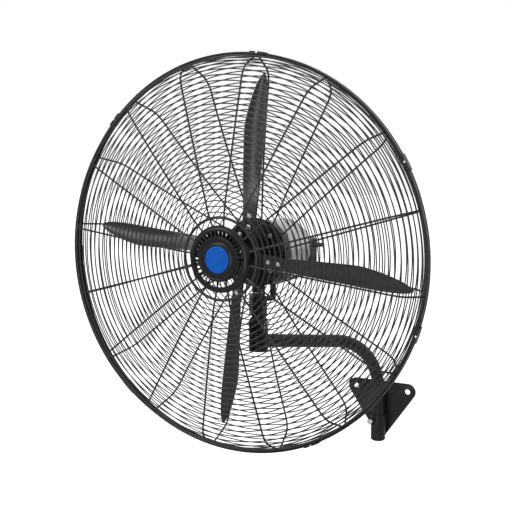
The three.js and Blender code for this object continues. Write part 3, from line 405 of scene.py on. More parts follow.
# ---------------------------------------------------------------- guard
GUARD_R = 371.5
RIM_SET = 3.6
SHOULDER_R = 346
SHOULDER_ROUND = 22
CROWN_R = 90
FRONT_DEPTH, FRONT_SHOULDER = -56, -46
REAR_DEPTH, REAR_SHOULDER = 76, 53
SPOKES = 16
SPOKE_PHASE = 82.5
REAR_SKEW = 9.6  # how far past the axis the straight rear spokes would run
SPOKE_WIRE = 1.8
RING_WIRE = 1.15
RIM_WIRE = 2.3
RING_PITCH = 10.2
COLLAR_R, COLLAR_WIRE = 76, 2.8
FRONT_EYE = (38, -49)
REAR_EYE = (62, 79.3)


def cage_line(rim_y, shoulder_y, depth, eye, bow):
    """The line of a spoke from the rim inwards: (radius, height) points a few millimetres apart."""
    edge, knee, crown = Vector((GUARD_R, rim_y)), Vector((SHOULDER_R, shoulder_y)), Vector((CROWN_R, depth))
    before = knee.lerp(edge, SHOULDER_ROUND * 0.8 / (edge - knee).length)
    after = knee.lerp(crown, SHOULDER_ROUND / (crown - knee).length)
    line = [edge.lerp(before, t / 6) for t in range(6)]
    for i in range(11):
        t = i / 10
        line.append(before * (1 - t) ** 2 + knee * 2 * t * (1 - t) + after * t * t)
    for i in range(1, 25):
        t = i / 24
        point = after.lerp(crown, t)
        point.y += bow * 4 * t * (1 - t)
        line.append(point)
    eye = Vector(eye)
    for i in range(1, 9):
        line.append(crown.lerp(eye, i / 8))
    return line


def height_at(line, radius):
    for a, b in zip(line, line[1:]):
        if b.x <= radius <= a.x:
            return a.y + (b.y - a.y) * (radius - a.x) / (b.x - a.x)
    return line[-1].y


def ring_places(line):
    """Points a ring's pitch apart along the line, from the rim to the crown."""
    places, walked, target = [], 0.0, RING_PITCH
    for a, b in zip(line, line[1:]):
        step = (b - a).length
        while walked + step >= target and a.lerp(b, (target - walked) / step).x > CROWN_R - 6:
            places.append((a.lerp(b, (target - walked) / step), (b - a).normalized()))
            target += RING_PITCH
        walked += step
    return places


def cage(line, eye_wire, outwards, skew):
    """Rings stand on the outside of the spokes; outwards is -1 for the front cage, 1 for the rear one."""
    rings = [hoop(GUARD_R, RIM_WIRE, line[0].y), hoop(line[-1].x, eye_wire, line[-1].y)]
    proud = (SPOKE_WIRE + RING_WIRE) * 0.9
    for place, along in ring_places(line):
        out = Vector((-along.y, along.x)) * (1 if along.x * outwards > 0 else -1)
        at = place + out * proud
        rings.append(hoop(at.x, RING_WIRE, at.y))
    spoke = wire([Vector((p.x, p.y, -skew * (1 - p.x / GUARD_R))) for p in line], SPOKE_WIRE)
    spokes = [around_y(spoke, SPOKE_PHASE + 360 * k / SPOKES) for k in range(SPOKES)]
    return merged(*rings, *spokes)


FRONT_LINE = cage_line(-RIM_SET, FRONT_SHOULDER, FRONT_DEPTH, FRONT_EYE, -1.3)
REAR_LINE = cage_line(RIM_SET, REAR_SHOULDER, REAR_DEPTH, REAR_EYE, -4)


def guards():
    collar = hoop(COLLAR_R, COLLAR_WIRE, height_at(FRONT_LINE, COLLAR_R) + SPOKE_WIRE, sides=12)
    front = merged(cage(FRONT_LINE, SPOKE_WIRE, -1, 0), collar)
    make("front_cage", front, AT_HEAD, "head", WIRE, ["front_guard"], sharp=70)
    rear = cage(REAR_LINE, 2.2, 1, REAR_SKEW)
    make("rear_cage", rear, AT_HEAD, "head", WIRE, ["rear_guard"], sharp=70)


BAND_OUT = 375.6
BAND_IN = 374.3
BAND_HALF = 7.6
BAND_LIP = 372.6
CLIP_ANGLES = [82, 28, -18, -64, -131, -178, 136]
CLIP_HALF = 15


def rim_band():
    """A rolled channel with a bead along each edge."""
    bead = 2.2
    outline = [(BAND_LIP, -BAND_HALF), (BAND_OUT - 0.4, -BAND_HALF), (BAND_OUT, -BAND_HALF + 0.8)]
    outline += [(BAND_OUT, -BAND_HALF + bead), (BAND_OUT - 0.7, -BAND_HALF + bead + 1)]
    outline += [(r, -y) for r, y in outline[::-1]]
    outline += [(BAND_LIP, BAND_HALF - 1.3), (BAND_IN - 0.6, BAND_HALF - 1.6)]
    outline += [(BAND_IN - 0.6, -BAND_HALF + 1.6), (BAND_LIP, -BAND_HALF + 1.3)]
    skin = turned(rounded(outline, 0.35, 2), 256)
    make("rolled_rim", skin, AT_HEAD, "head", BLACK, ["rim_band"], sharp=50)


def clip(number, angle):
    """A sheet clip bent round the rim, closed by a small screw on its front leg."""
    inner, outer, side = BAND_OUT + 0.3, BAND_OUT + 1.9, BAND_HALF + 0.5
    leg = BAND_LIP - 1
    outline = [(leg, -side - 1.4), (outer, -side - 1.4), (outer, side + 1.4), (leg, side + 1.4)]
    outline += [(leg, side), (inner, side), (inner, -side), (leg, -side)]
    section = rounded(outline, [0.4, 2.2, 2.2, 0.4, 0.4, 1.0, 1.0, 0.4], 3)
    reach = math.degrees(CLIP_HALF / BAND_OUT)
    loops = []
    for k in range(9):
        turn = math.radians(angle + reach * (k / 4 - 1))
        loops.append([Vector((r * math.cos(turn), y, r * math.sin(turn))) for r, y in section])
    name = f"rim_clip_{number}"
    make(f"clip_{number}", lofted(loops), AT_HEAD, "head", BLACK, [name])
    at = Matrix.Rotation(-math.radians(angle), 4, "Y") @ Matrix.Translation((BAND_OUT - 0.2, -side - 1.3, 0))
    head = merged(rod(1.9, 0, 1.2, 0.4, 20), rod(0.9, -1.0, 0.2, 0.2, 12))
    make(f"clip_screw_{number}", head, AT_HEAD @ at @ TO_Y, "head", ZINC)


# ---------------------------------------------------------------- front cap
CAP_R = 62
CAP_RIM_Y = -54.3
CAP_FACE_Y = -58.3
CAP_FRONT_Y = -61.3
CAP_BACK_Y = -47.0
CAP_WALL = 2.2
BADGE_R = 25
BADGE_BACK, BADGE_FRONT = -61.6, -64.0
SLOTS = 36
SLOT_IN, SLOT_OUT = 41, 51.5
SLOT_DEPTH = 16
RIB_HALF = 1.3
VANE_LEAN = 28  # degrees that the vanes between the slots lean, all the same way round


def front_cap():
    w = CAP_WALL
    front = [(0, CAP_FRONT_Y), (BADGE_R + 0.3, CAP_FRONT_Y), (BADGE_R + 0.8, CAP_FRONT_Y - 2.3)]
    front += [(BADGE_R + 2.4, CAP_FRONT_Y - 2.5), (31, CAP_FRONT_Y - 1.6), (32.2, CAP_FRONT_Y - 0.2)]
    front += [(36.6, CAP_FRONT_Y - 0.6), (37.6, CAP_FRONT_Y - 1.9), (39.6, CAP_FRONT_Y - 1.9)]
    front += [(40.6, CAP_FRONT_Y + 0.4), (SLOT_IN, CAP_FRONT_Y + 0.9), (SLOT_OUT, CAP_FACE_Y - 0.9)]
    front += [(54, CAP_FACE_Y - 1.4), (58.6, CAP_FACE_Y - 0.4), (CAP_R, CAP_FACE_Y + 2), (CAP_R, CAP_RIM_Y)]
    back = [(CAP_R - w, CAP_RIM_Y), (CAP_R - w, CAP_FACE_Y + w), (SLOT_OUT + w, CAP_FACE_Y + w)]
    back += [(SLOT_OUT + w, CAP_RIM_Y), (SLOT_IN, CAP_RIM_Y), (SLOT_IN - w, CAP_RIM_Y)]
    back += [(SLOT_IN - w, CAP_FACE_Y + w - 1), (12, CAP_FRONT_Y + w), (12, CAP_BACK_Y), (0, CAP_BACK_Y)]
    radii = [0, 0.2, 0.5, 0.5, 0.6, 0.5, 0.5, 0.6, 0.6, 0.5, 0.3, 0.4, 1.2, 1.6, 1.6, 0.5]
    outline = rounded(front + back, radii + [0.3] * len(back), 3, closed=False)
    skin = turned(outline, 144)
    cap = make("louvred_cap", skin, AT_HEAD, "head", PLASTIC, ["front_cap"])
    half_in = math.pi * SLOT_IN / SLOTS - RIB_HALF
    half_out = math.pi * SLOT_OUT / SLOTS - RIB_HALF
    outline = [(SLOT_IN + 0.3, -half_in), (SLOT_OUT - 0.3, -half_out)]
    outline += [(SLOT_OUT - 0.3, half_out), (SLOT_IN + 0.3, half_in)]
    slot = sheet_cut([rounded(outline, 0.8, 2)], SLOT_DEPTH, 0.05)
    lean = Matrix.Rotation(-math.radians(VANE_LEAN), 4, "X") @ Matrix.Translation((0, 0, -SLOT_DEPTH / 2))
    slot = placed(slot, TO_Y @ Matrix.Translation((0, 0, -CAP_RIM_Y + 2)) @ lean)
    slots = [around_y(slot, 360 * k / SLOTS) for k in range(SLOTS)]
    carve(cap, merged(*slots), AT_HEAD)
    disc = [(0, BADGE_BACK), (BADGE_R, BADGE_BACK), (BADGE_R, BADGE_FRONT + 0.6)]
    disc += [(BADGE_R - 0.6, BADGE_FRONT), (0, BADGE_FRONT - 0.15)]
    disc = rounded(disc, [0, 0.1, 0.3, 0.5, 0], 3, closed=False)
    make("bare_badge", turned(disc, 128), AT_HEAD, "head", BLUE, ["badge"])
    plate_low, plate_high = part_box("cap_plate")
    plate_y = (plate_low.y / MM - HEAD.y, plate_high.y / MM - HEAD.y)
    plate_r = (plate_high.x - plate_low.x) / MM / 2
    outline = [(0, plate_y[0]), (plate_r, plate_y[0]), (plate_r, plate_y[1]), (0, plate_y[1])]
    skin = turned(rounded(outline, [0, 0.5, 0.5, 0], 2, closed=False))
    make("cap_disc", skin, AT_HEAD, "head", BLACK, ["cap_plate"])


guards()
rim_band()
for index, clip_angle in enumerate(CLIP_ANGLES):
    clip(index + 1, clip_angle)
front_cap()

# ---------------------------------------------------------------- blades and hub
BLADE_PLANE = 33
BLADE_THICK = 2
BLADE_CAMBER = 4
ROOT_FLAT_R = 96
ROOT_PITCH, TIP_PITCH = 22, 12
BLADE_WIDEST = 41
TIP_R = 342
# blade outline: (radius, width on the trailing side, width on the leading side)
BLADE_OUTLINE = [
    (44, 9, 18),
    (80, 9, 18),
    (130, 15, 18),
    (180, 20, 17),
    (235, 25, 16),
    (265, 23, 15.5),
    (295, 18, 14),
    (320, 11.5, 11),
    (335, 5, 7),
    (342, 0.5, 3),
]
SCREWS_AT = (54, 76)
ROOT_MIDDLE = -4.5
ARM_FACE = BLADE_THICK / 2 + 0.3
SHAFT_R = 7.5
HUB_R = 22
HUB_FRONT, HUB_BACK = 20, 46
BLADES = 4


def blade_point(radius, across, out):
    along = max(radius - ROOT_FLAT_R, 0) / (TIP_R - ROOT_FLAT_R)
    pitch = math.radians(ROOT_PITCH + (TIP_PITCH - ROOT_PITCH) * math.sqrt(along))
    y = BLADE_PLANE - across * math.sin(pitch) - out * math.cos(pitch)
    return Vector((radius, y, across * math.cos(pitch) - out * math.sin(pitch)))


def smooth_between(rows, k, t):
    """A value between rows k and k + 1 on a smooth curve through all of them."""
    a, b, c, d = (rows[min(max(i, 0), len(rows) - 1)] for i in range(k - 1, k + 3))
    return [
        0.5 * (2 * q + (r - p) * t + (2 * p - 5 * q + 4 * r - s) * t * t + (3 * q - p - 3 * r + s) * t ** 3)
        for p, q, r, s in zip(a, b, c, d)
    ]


def blade_skin():
    """A cambered sheet blade with rounded edges."""
    steps, pieces = 14, 6
    rows = []
    for k in range(len(BLADE_OUTLINE) - 1):
        rows += [smooth_between(BLADE_OUTLINE, k, i / pieces) for i in range(pieces)]
    rows.append(BLADE_OUTLINE[-1])
    loops = []
    for radius, trailing, leading in rows:
        width = leading + trailing
        fade = min(max(radius / ROOT_FLAT_R - 1, 0), 1)
        camber = BLADE_CAMBER * fade * fade * (3 - 2 * fade) * width / BLADE_WIDEST
        loop = []
        for face, turns in ((-1, range(steps + 1)), (1, range(steps, -1, -1))):
            for k in turns:
                t = (1 - math.cos(math.pi * k / steps)) / 2
                out = face * BLADE_THICK / 2 * thin(t, width) - 4 * camber * t * (1 - t)
                loop.append(blade_point(radius, width * t - leading, out))
        loops.append(loop)
    return lofted(loops)


def thin(t, width):
    """Rounds the blade's long edges: 1 in the middle and small at the two sides."""
    from_edge = min(t, 1 - t) * width
    return math.sqrt(min(1.0, 0.15 + from_edge / 1.2))


def on_root(radius):
    """The place of a piece drawn on +Z behind the blade's root, square to it."""
    at = blade_point(radius, ROOT_MIDDLE, 0)
    return Matrix.Translation(at) @ Matrix.Rotation(math.radians(ROOT_PITCH), 4, "X") @ TO_Y


def blade_and_screws(number):
    turn = Matrix.Rotation(-math.radians(SPOKE_PHASE + 360 * (number - 1) / BLADES), 4, "Y")
    at = AT_HEAD @ turn
    make(f"painted_blade_{number}", blade_skin(), at, "rotor", BLADE, [f"blade_{number}"])
    for i, radius in enumerate(SCREWS_AT):
        name = f"blade_screw_{(number - 1) * len(SCREWS_AT) + i + 1}"
        screw = pan_screw(ARM_FACE, -ARM_FACE - 6)
        make("pan_" + name, screw, at @ on_root(radius), "rotor", ZINC, [name])


def pan_screw(seat, tip, head=4.2, shank=2.5):
    """A washer, a domed head with a hexagon socket, and the shank, along Z."""
    washer = rod(head + 0.8, seat, seat + 0.9, 0.3, 32)
    low, high = seat + 0.9, seat + 3.0
    dome = [(0, high - 1.2), (1.5, high - 1.2), (1.7, high), (2.6, high)]
    dome += [(head, low + 0.9), (head, low), (0, low)]
    dome = rounded(dome, [0, 0.1, 0.2, 0.8, 0.8, 0.2, 0], 3, closed=False)
    return merged(washer, spun(dome, 36), rod(shank, tip, seat, 0.6, 20))


def hub():
    """A cast barrel and four pressed arms behind the blades."""
    barrel = [(SHAFT_R + 0.3, HUB_FRONT), (HUB_R - 4, HUB_FRONT), (HUB_R, HUB_FRONT + 4), (HUB_R, HUB_BACK)]
    barrel += [(SHAFT_R + 0.3, HUB_BACK)]
    skins = [turned(rounded(barrel, [0.6, 1.5, 1.5, 1.5, 0.6], 3), 72)]
    outline = [(0, -12), (84, -12), (94, -7), (94, 7), (84, 12), (0, 12)]
    arm = sheet_cut([rounded(outline, [0, 4, 4, 4, 4, 0], 4)], 4, 0.7)
    arm = placed(arm, on_root(0) @ Matrix.Translation((0, 0, -ARM_FACE - 4)))
    for k in range(BLADES):
        skins.append(around_y(arm, SPOKE_PHASE + 360 * k / BLADES))
    make("cast_hub", merged(*skins), AT_HEAD, "rotor", BLACK, ["fan_hub"])
    nut = hexagon(12, -HUB_FRONT + 0.3, -HUB_FRONT + 10, SHAFT_R + 0.3)
    make("shaft_nut", nut, AT_HEAD @ TO_Y, "rotor", ZINC, ["hub_nut"])


for number in range(1, BLADES + 1):
    blade_and_screws(number)
hub()

# ---------------------------------------------------------------- motor
MOTOR_FRONT = 84
MOTOR_R = 60
COVER_R = 62
COVER_BACK = 118
BODY_FRONT, BODY_BACK = 118.3, 205.3
REAR_FRONT, MOTOR_BACK = 205.6, 255.6
REAR_FACE_R = 34
BORE_R = 10
WALL = 3
PLATE_R = 68
TIE_BOLTS = 4
VENTS, VENT_R, VENT_SLOPE = 16, 47, 58


def motor():
    """Front and rear shells with tie bolts round a smooth rolled body."""
    front = [(BORE_R, MOTOR_FRONT), (COVER_R - 6, MOTOR_FRONT), (COVER_R, MOTOR_FRONT + 5)]
    front += [(COVER_R, COVER_BACK - 5), (COVER_R - 0.4, COVER_BACK - 4.4), (COVER_R - 0.4, COVER_BACK)]
    front += [(COVER_R - WALL, COVER_BACK), (COVER_R - WALL, MOTOR_FRONT + 8)]
    front += [(COVER_R - 8, MOTOR_FRONT + WALL), (BORE_R, MOTOR_FRONT + WALL)]
    radii = [0.5, 4, 4, 0.6, 0.3, 0.6, 0.4, 2, 2, 0.5]
    shell = turned(rounded(front, radii), 120)
    make("front_shell", shell, AT_HEAD, "head", BLACK, ["motor_front_cover"])
    body = [(MOTOR_R - WALL, BODY_FRONT), (MOTOR_R, BODY_FRONT)]
    body += [(MOTOR_R, BODY_BACK), (MOTOR_R - WALL, BODY_BACK)]
    barrel = turned(rounded(body, 0.8, 3), 120)
    make("rolled_body", barrel, AT_HEAD, "head", GREY, ["motor_body"])
    outer = [(MOTOR_R, REAR_FRONT), (MOTOR_R, REAR_FRONT + 6), (MOTOR_R - 1.4, REAR_FRONT + 7)]
    outer += [(MOTOR_R - 2, REAR_FRONT + 12.4), (50, REAR_FRONT + 31), (41, MOTOR_BACK - 6)]
    outer += [(REAR_FACE_R, MOTOR_BACK), (BORE_R, MOTOR_BACK)]
    inner = [(BORE_R, MOTOR_BACK - WALL), (REAR_FACE_R - 4, MOTOR_BACK - WALL), (50 - WALL, REAR_FRONT + 26)]
    inner += [(MOTOR_R - WALL, REAR_FRONT + 8), (MOTOR_R - WALL, REAR_FRONT)]
    radii = [0.5, 0.6, 0.6, 8, 10, 8, 3, 0.5, 0.5, 3, 8, 6, 0.5]
    rear = turned(rounded(outer + inner, radii, 6), 120)
    shell = make("rear_shell", rear, AT_HEAD, "head", GREY, ["motor_rear_cover"])
    vent = sheet_cut([rounded([(-2, -8), (2, -8), (2, 8), (-2, 8)], 2, 4)], 24, 0.05)
    vents = []
    for k in range(VENTS):
        angle = 360 * (k + 0.5) / VENTS
        if min(angle, 360 - angle) > 20:
            at = Matrix.Translation((VENT_R, REAR_FRONT + 33, 0))
            at = at @ Matrix.Rotation(-math.radians(VENT_SLOPE), 4, "Z")
            lying = Matrix.Rotation(math.pi / 2, 4, "Y") @ Matrix.Translation((0, 0, -12))
            vents.append(around_y(placed(vent, at @ lying), angle))
    carve(shell, merged(*vents), AT_HEAD)
    plate = sheet_cut([circle(PLATE_R, steps=120), circle(26, steps=60)], 3, 0.6)
    plate = placed(plate, TO_Y @ Matrix.Translation((0, 0, -(MOTOR_FRONT - 0.3))))
    make("guard_ring", plate, AT_HEAD, "head", BLACK, ["guard_plate"])
    for k in range(TIE_BOLTS):
        turn = Matrix.Rotation(math.radians(45 + 360 * k / TIE_BOLTS), 4, "Y")
        seat = Matrix.Translation((48, MOTOR_FRONT - 3.3, 0)) @ TO_Y
        screw = pan_screw(0, -3, 4.0, 2.2)
        make(f"plate_screw_{k + 1}", screw, AT_HEAD @ turn @ seat, "head", ZINC)


motor()

# ---------------------------------------------------------------- gearbox and its knobs
BOX_LOW, BOX_HIGH = (-46.5, 255.9, -51.0), (30.65, 316.9, 12.0)
LID_FOOT, LID_TOP = -54.3, -51.3
KNOB_AT = Vector(JOINT_AT["idler_spin"]) / MM - HEAD
KNOB_R, KNOB_HEIGHT = 9, 14
DIAL_DROP = -24
DIAL_R, DIAL_LENGTH = 14, 13
LEAD_R, LEAD_Z, LEAD_BOW = 3.5, 2.5, 24


def gearbox():
    box = block(BOX_LOW, BOX_HIGH, corner=9, edge=2.2)
    lid = block((BOX_LOW[0], BOX_LOW[1], LID_FOOT), (BOX_HIGH[0], BOX_HIGH[1], LID_TOP), corner=9, edge=0.8)
    make("moulded_box", box, AT_HEAD, "head", PLASTIC, ["gear_housing"])
    make("screwed_lid", lid, AT_HEAD, "head", PLASTIC, ["gearbox_lid"])
    number = 0
    for x in (BOX_LOW[0] + 7, BOX_HIGH[0] - 7):
        for y in (BOX_LOW[1] + 7, BOX_HIGH[1] - 7):
            number += 1
            at = AT_HEAD @ Matrix.Translation((x, y, LID_FOOT)) @ Matrix.Rotation(math.pi, 4, "X")
            make(f"lid_screw_{number}", pan_screw(0, -3, 2.6, 1.4), at, "head", ZINC)


def knobs():
    """A ribbed pull knob on the box and a fluted speed knob with its pointer behind it."""
    ribs = 28
    outline = []
    for k in range(ribs * 4):
        radius = KNOB_R - (0.0 if k % 4 in (0, 1) else 0.7)
        outline.append((radius * math.cos(TURN * k / ribs / 4), radius * math.sin(TURN * k / ribs / 4)))
    low = BOX_HIGH[2] + 0.3
    skirt = rod(KNOB_R - 1.2, low, low + 4, 0.5)
    grip = placed(sheet_cut([outline], KNOB_HEIGHT - 3.5, 0.8), Matrix.Translation((0, 0, low + 3.5)))
    stem = rod(3, low - 8, low + 1, 0.3, 20)
    at = AT_HEAD @ Matrix.Translation((KNOB_AT.x, KNOB_AT.y, 0))
    knob = merged(skirt, grip, stem)
    make("pull_knob", knob, at, "oscillation_knob", PLASTIC, ["osc_knob"])
    back = BOX_HIGH[1] + 0.3
    dial = AT_HEAD @ Matrix.Translation((0, back, DIAL_DROP)) @ Matrix.Rotation(math.pi, 4, "Z") @ TO_Y
    face = [(0, 0), (DIAL_R, 0), (DIAL_R, 3), (DIAL_R - 2, 4.2), (0, 4.6)]
    face = spun(rounded(face, [0, 0.4, 0.8, 1.2, 0], 3, closed=False), 64)
    bar = [(-DIAL_R + 1, -4), (DIAL_R - 1, -2.6), (DIAL_R - 1, 2.6), (-DIAL_R + 1, 4)]
    bar = placed(sheet_cut([rounded(bar, 2.2)], DIAL_LENGTH - 4, 1.0), Matrix.Translation((0, 0, 4)))
    line = sheet_cut([[(3, -0.4), (DIAL_R - 2, -0.4), (DIAL_R - 2, 0.4), (3, 0.4)]], 0.3, 0.05)
    line = placed(line, Matrix.Translation((0, 0, DIAL_LENGTH - 0.15)))
    make("fluted_dial", merged(face, bar), dial, "speed_dial", PLASTIC, ["speed_knob"])
    make("dial_pointer", line, dial, "speed_dial", POINTER)


def wiring():
    gland = [(4.2, 0), (8, 0), (8, 4), (6.8, 5), (6.4, 9), (6.8, 10), (6.0, 16), (4.2, 16)]
    gland = spun(rounded(gland, 0.5, 2), 40)
    crank_y = JOINT_AT["crank_spin"][1] / MM - HEAD.y
    place = Matrix.Translation((BOX_LOW[0] - 0.3, crank_y, DIAL_DROP))
    at = AT_HEAD @ place @ Matrix.Rotation(-math.pi / 2, 4, "Y")
    make("ribbed_gland", gland, at, "head", RUBBER, ["cord_gland"])
    start = Vector((50, REAR_FRONT + 31, LEAD_Z))
    end = Vector((BOX_HIGH[0], KNOB_AT.y, LEAD_Z))
    points = [start]
    for k in range(25):
        t = k / 24
        x = start.x + 4 + (end.x - start.x) * t + LEAD_BOW * math.sin(math.pi * t)
        points.append(Vector((x, start.y + (end.y - start.y) * t, LEAD_Z)))
    points.append(end)
    make("bowed_lead", wire(points, LEAD_R, 16), AT_HEAD, "head", RUBBER, ["wiring_lead"])


gearbox()
knobs()
wiring()

# ---------------------------------------------------------------- neck; heights are from the motor's axis
TILT_Z = JOINT_AT["head_tilt"][2] / MM - PIVOT.z
NECK_R = 13
NECK_TOP = -82.6
BLOCK_OUT, BLOCK_TOP_DROP, BLOCK_SLANT, BLOCK_REACH = 25, 87, 10, 13.6
PIVOT_R = 8
PIVOT_BACK = PIVOT.y - HEAD.y
MOUNT_FOOT = -63
MOUNT_BOSS_FOOT = -80
SADDLE_HALF, SADDLE_LENGTH, SADDLE_R = 40, 75, 62.4
BOSS_R, BOSS_HALF = 14, 10
EAR_IN, EAR_OUT = 10.3, 15.3
BARREL_R = 19.5
BARREL_TOP = TILT_Z - BOSS_R - 0.3
BARREL_FOOT = BARREL_TOP - 40
LUG = Vector(JOINT_AT["link_pivot"]) / MM - PIVOT
LUG_R = 6
LUG_FOOT, LUG_TOP = -99, -67.6
LINK_TOP = -64.3


def along_x(skin):
    """Lays a skin drawn along +Z down along +X."""
    return placed(skin, Matrix.Rotation(math.pi / 2, 4, "Y"))


def mount():
    """The cast saddle under the motor with the boss that the pivot shaft is fixed in."""
    front, back = MOTOR_FRONT - PIVOT_BACK, MOTOR_FRONT + SADDLE_LENGTH - PIVOT_BACK
    half = SADDLE_HALF
    outline = [(-half, -47), (-half, -57), (6 - half, MOUNT_FOOT)]
    outline += [(half - 6, MOUNT_FOOT), (half, -57), (half, -47)]
    for k in range(17):
        angle = math.radians(-52 - 76 * k / 16)
        outline.append((SADDLE_R * math.cos(angle), SADDLE_R * math.sin(angle)))
    outline = [point for point in outline if abs(point[0]) <= half]
    slab = sheet_cut([outline], back - front, 0.8)
    slab = placed(slab, TO_Y @ Matrix.Translation((0, 0, -back)))
    boss = [(PIVOT_R + 0.3, MOUNT_BOSS_FOOT), (NECK_R, MOUNT_BOSS_FOOT), (NECK_R, -66)]
    boss += [(NECK_R + 4, MOUNT_FOOT + 0.5), (PIVOT_R + 0.3, MOUNT_FOOT + 0.5)]
    boss = spun(rounded(boss, [0.4, 0.8, 3, 0.4, 0.2], 4), 56)
    make("cast_saddle", merged(slab, boss), AT_PIVOT, "head", BLACK, ["motor_mount"])


def neck_block():
    """The square block round the post; its front corners are cut off for the guard's swing."""
    slack = BLOCK_REACH * math.sqrt(2)
    low, high = TILT_Z + BOSS_R + 2, -BLOCK_TOP_DROP
    slanted = NECK_R - BLOCK_SLANT
    levels = [(low, 1, NECK_R), (low + 1, 0, NECK_R), (high - BLOCK_SLANT, 0, NECK_R)]
    levels += [(high - 1, 0, slanted + 1), (high, 1, slanted)]
    loops = []
    for z, inset, right in levels:
        side, out = NECK_R - inset, BLOCK_OUT - inset
        outline = [(-out, side), (-out, out - slack + inset), (-(slack - side) + inset, -side)]
        outline.append((min(slack - side, right - 1) - inset, -side))
        outline += [(right - inset, max(right - slack, 1 - side)), (right - inset, side)]
        loops.append([Vector((x, y, z)) for x, y in rounded(outline, 1.6, 3)])
    return lofted(loops)


def neck():
    boss = along_x(rod(BOSS_R, -BOSS_HALF, BOSS_HALF, 1.0, 56))
    boss = placed(boss, Matrix.Translation((0, 0, TILT_Z)))
    web = block((-BOSS_HALF, -NECK_R + 1, TILT_Z), (BOSS_HALF, NECK_R - 1, TILT_Z + BOSS_R + 8), 4, 1.5)
    post = [(0, TILT_Z + BOSS_R), (NECK_R - 1, TILT_Z + BOSS_R), (NECK_R, TILT_Z + BOSS_R + 4)]
    post += [(NECK_R, NECK_TOP), (0, NECK_TOP)]
    post = spun(rounded(post, [0, 1, 2, 1, 0], 3, closed=False), 56)
    reach = math.hypot(LUG.x, LUG.y)
    arm = block((4, -LUG_R, LUG_FOOT), (reach, LUG_R, LUG_FOOT + 9), 2, 1)
    arm = placed(arm, Matrix.Rotation(math.atan2(LUG.y, LUG.x), 4, "Z"))
    lug = placed(rod(LUG_R, LUG_FOOT, LUG_TOP, 0.8, 36), Matrix.Translation((LUG.x, LUG.y, 0)))
    casting = merged(boss, web, post, neck_block(), arm, lug)
    make("cast_neck", casting, AT_PIVOT, "neck", BLACK, ["neck_post"])
    washer = [(PIVOT_R + 0.3, NECK_TOP + 0.3), (NECK_R, NECK_TOP + 0.3)]
    washer += [(NECK_R, NECK_TOP + 2.3), (PIVOT_R + 0.3, NECK_TOP + 2.3)]
    washer = spun(rounded(washer, 0.4, 2), 48)
    make("turned_washer", washer, AT_PIVOT, "neck", STEEL, ["thrust_washer"])
    shaft = rod(PIVOT_R, NECK_TOP - 45, MOUNT_FOOT - 1, 0.8, 48)
    make("turned_pivot", shaft, AT_PIVOT, "neck", STEEL, ["pivot_shaft"])
    pin = placed(rod(3, LUG_TOP - 12, LINK_TOP, 0.6, 24), Matrix.Translation((LUG.x, LUG.y, 0)))
    make("turned_link_pin", pin, AT_PIVOT, "neck", STEEL, ["link_pin"])


def clevis():
    barrel = [(0, BARREL_FOOT), (BARREL_R - 2, BARREL_FOOT), (BARREL_R, BARREL_FOOT + 2)]
    barrel += [(BARREL_R, BARREL_TOP), (0, BARREL_TOP)]
    barrel = spun(rounded(barrel, [0, 1.2, 1.2, 1.5, 0], 3, closed=False), 72)
    cap = [(0, BARREL_FOOT - 0.1), (12, BARREL_FOOT - 0.1), (12, BARREL_FOOT + 2), (0, BARREL_FOOT + 2)]
    cap = spun(rounded(cap, 0.3, 2, closed=False), 48)
    skins = [barrel, cap]
    ear = [(12, BARREL_TOP - 6), (-12, BARREL_TOP - 6)]
    ear = [(x, z - TILT_Z) for x, z in ear]
    turns = [math.pi - math.pi * k / 28 for k in range(29)]
    crown = [(BOSS_R * math.cos(a), BOSS_R * math.sin(a)) for a in turns]
    outline = ear + [(-13.2, -8)] + crown + [(13.2, -8)]
    for low in (-EAR_OUT, EAR_IN):
        cheek = sheet_cut([outline], EAR_OUT - EAR_IN, 0.7)
        lying = Matrix.Rotation(math.pi / 2, 4, "Z") @ TO_Y
        skins.append(placed(cheek, Matrix.Translation((low, 0, TILT_Z)) @ lying))
    make("welded_clevis", merged(*skins), AT_PIVOT, "arm", BLACK, ["clevis"])
    at = AT_PIVOT @ Matrix.Translation((0, 0, TILT_Z)) @ Matrix.Rotation(math.pi / 2, 4, "Y")
    face = EAR_OUT + 0.3
    collar = rod(8.2, face, face + 1, 0.3, 40)
    bolt = merged(rod(5, -face - 7.3, face, 0.8, 32), collar, hexagon(8, face + 1, face + 4.5))
    make("hex_tilt_bolt", bolt, at, "arm", ZINC, ["tilt_bolt"])
    nut = merged(hexagon(8, -face - 4.5, -face - 1, 5.05), rod(8.2, -face - 1, -face, 0.3, 40))
    make("hex_tilt_nut", nut, at, "arm", ZINC, ["tilt_nut"])


mount()
neck()
clevis()

# ---------------------------------------------------------------- arm
PIPE_R = 13.6
PIPE_RISE = 0.5
ARM_REACH = math.hypot(PIVOT.x - SOCKET.x, PIVOT.y - SOCKET.y)
ARM_CLIMB = math.radians(6.5)
BEND_R = 130
SOCKET_FOOT, SOCKET_TOP = -64, -8
PLUG_DEPTH = 8


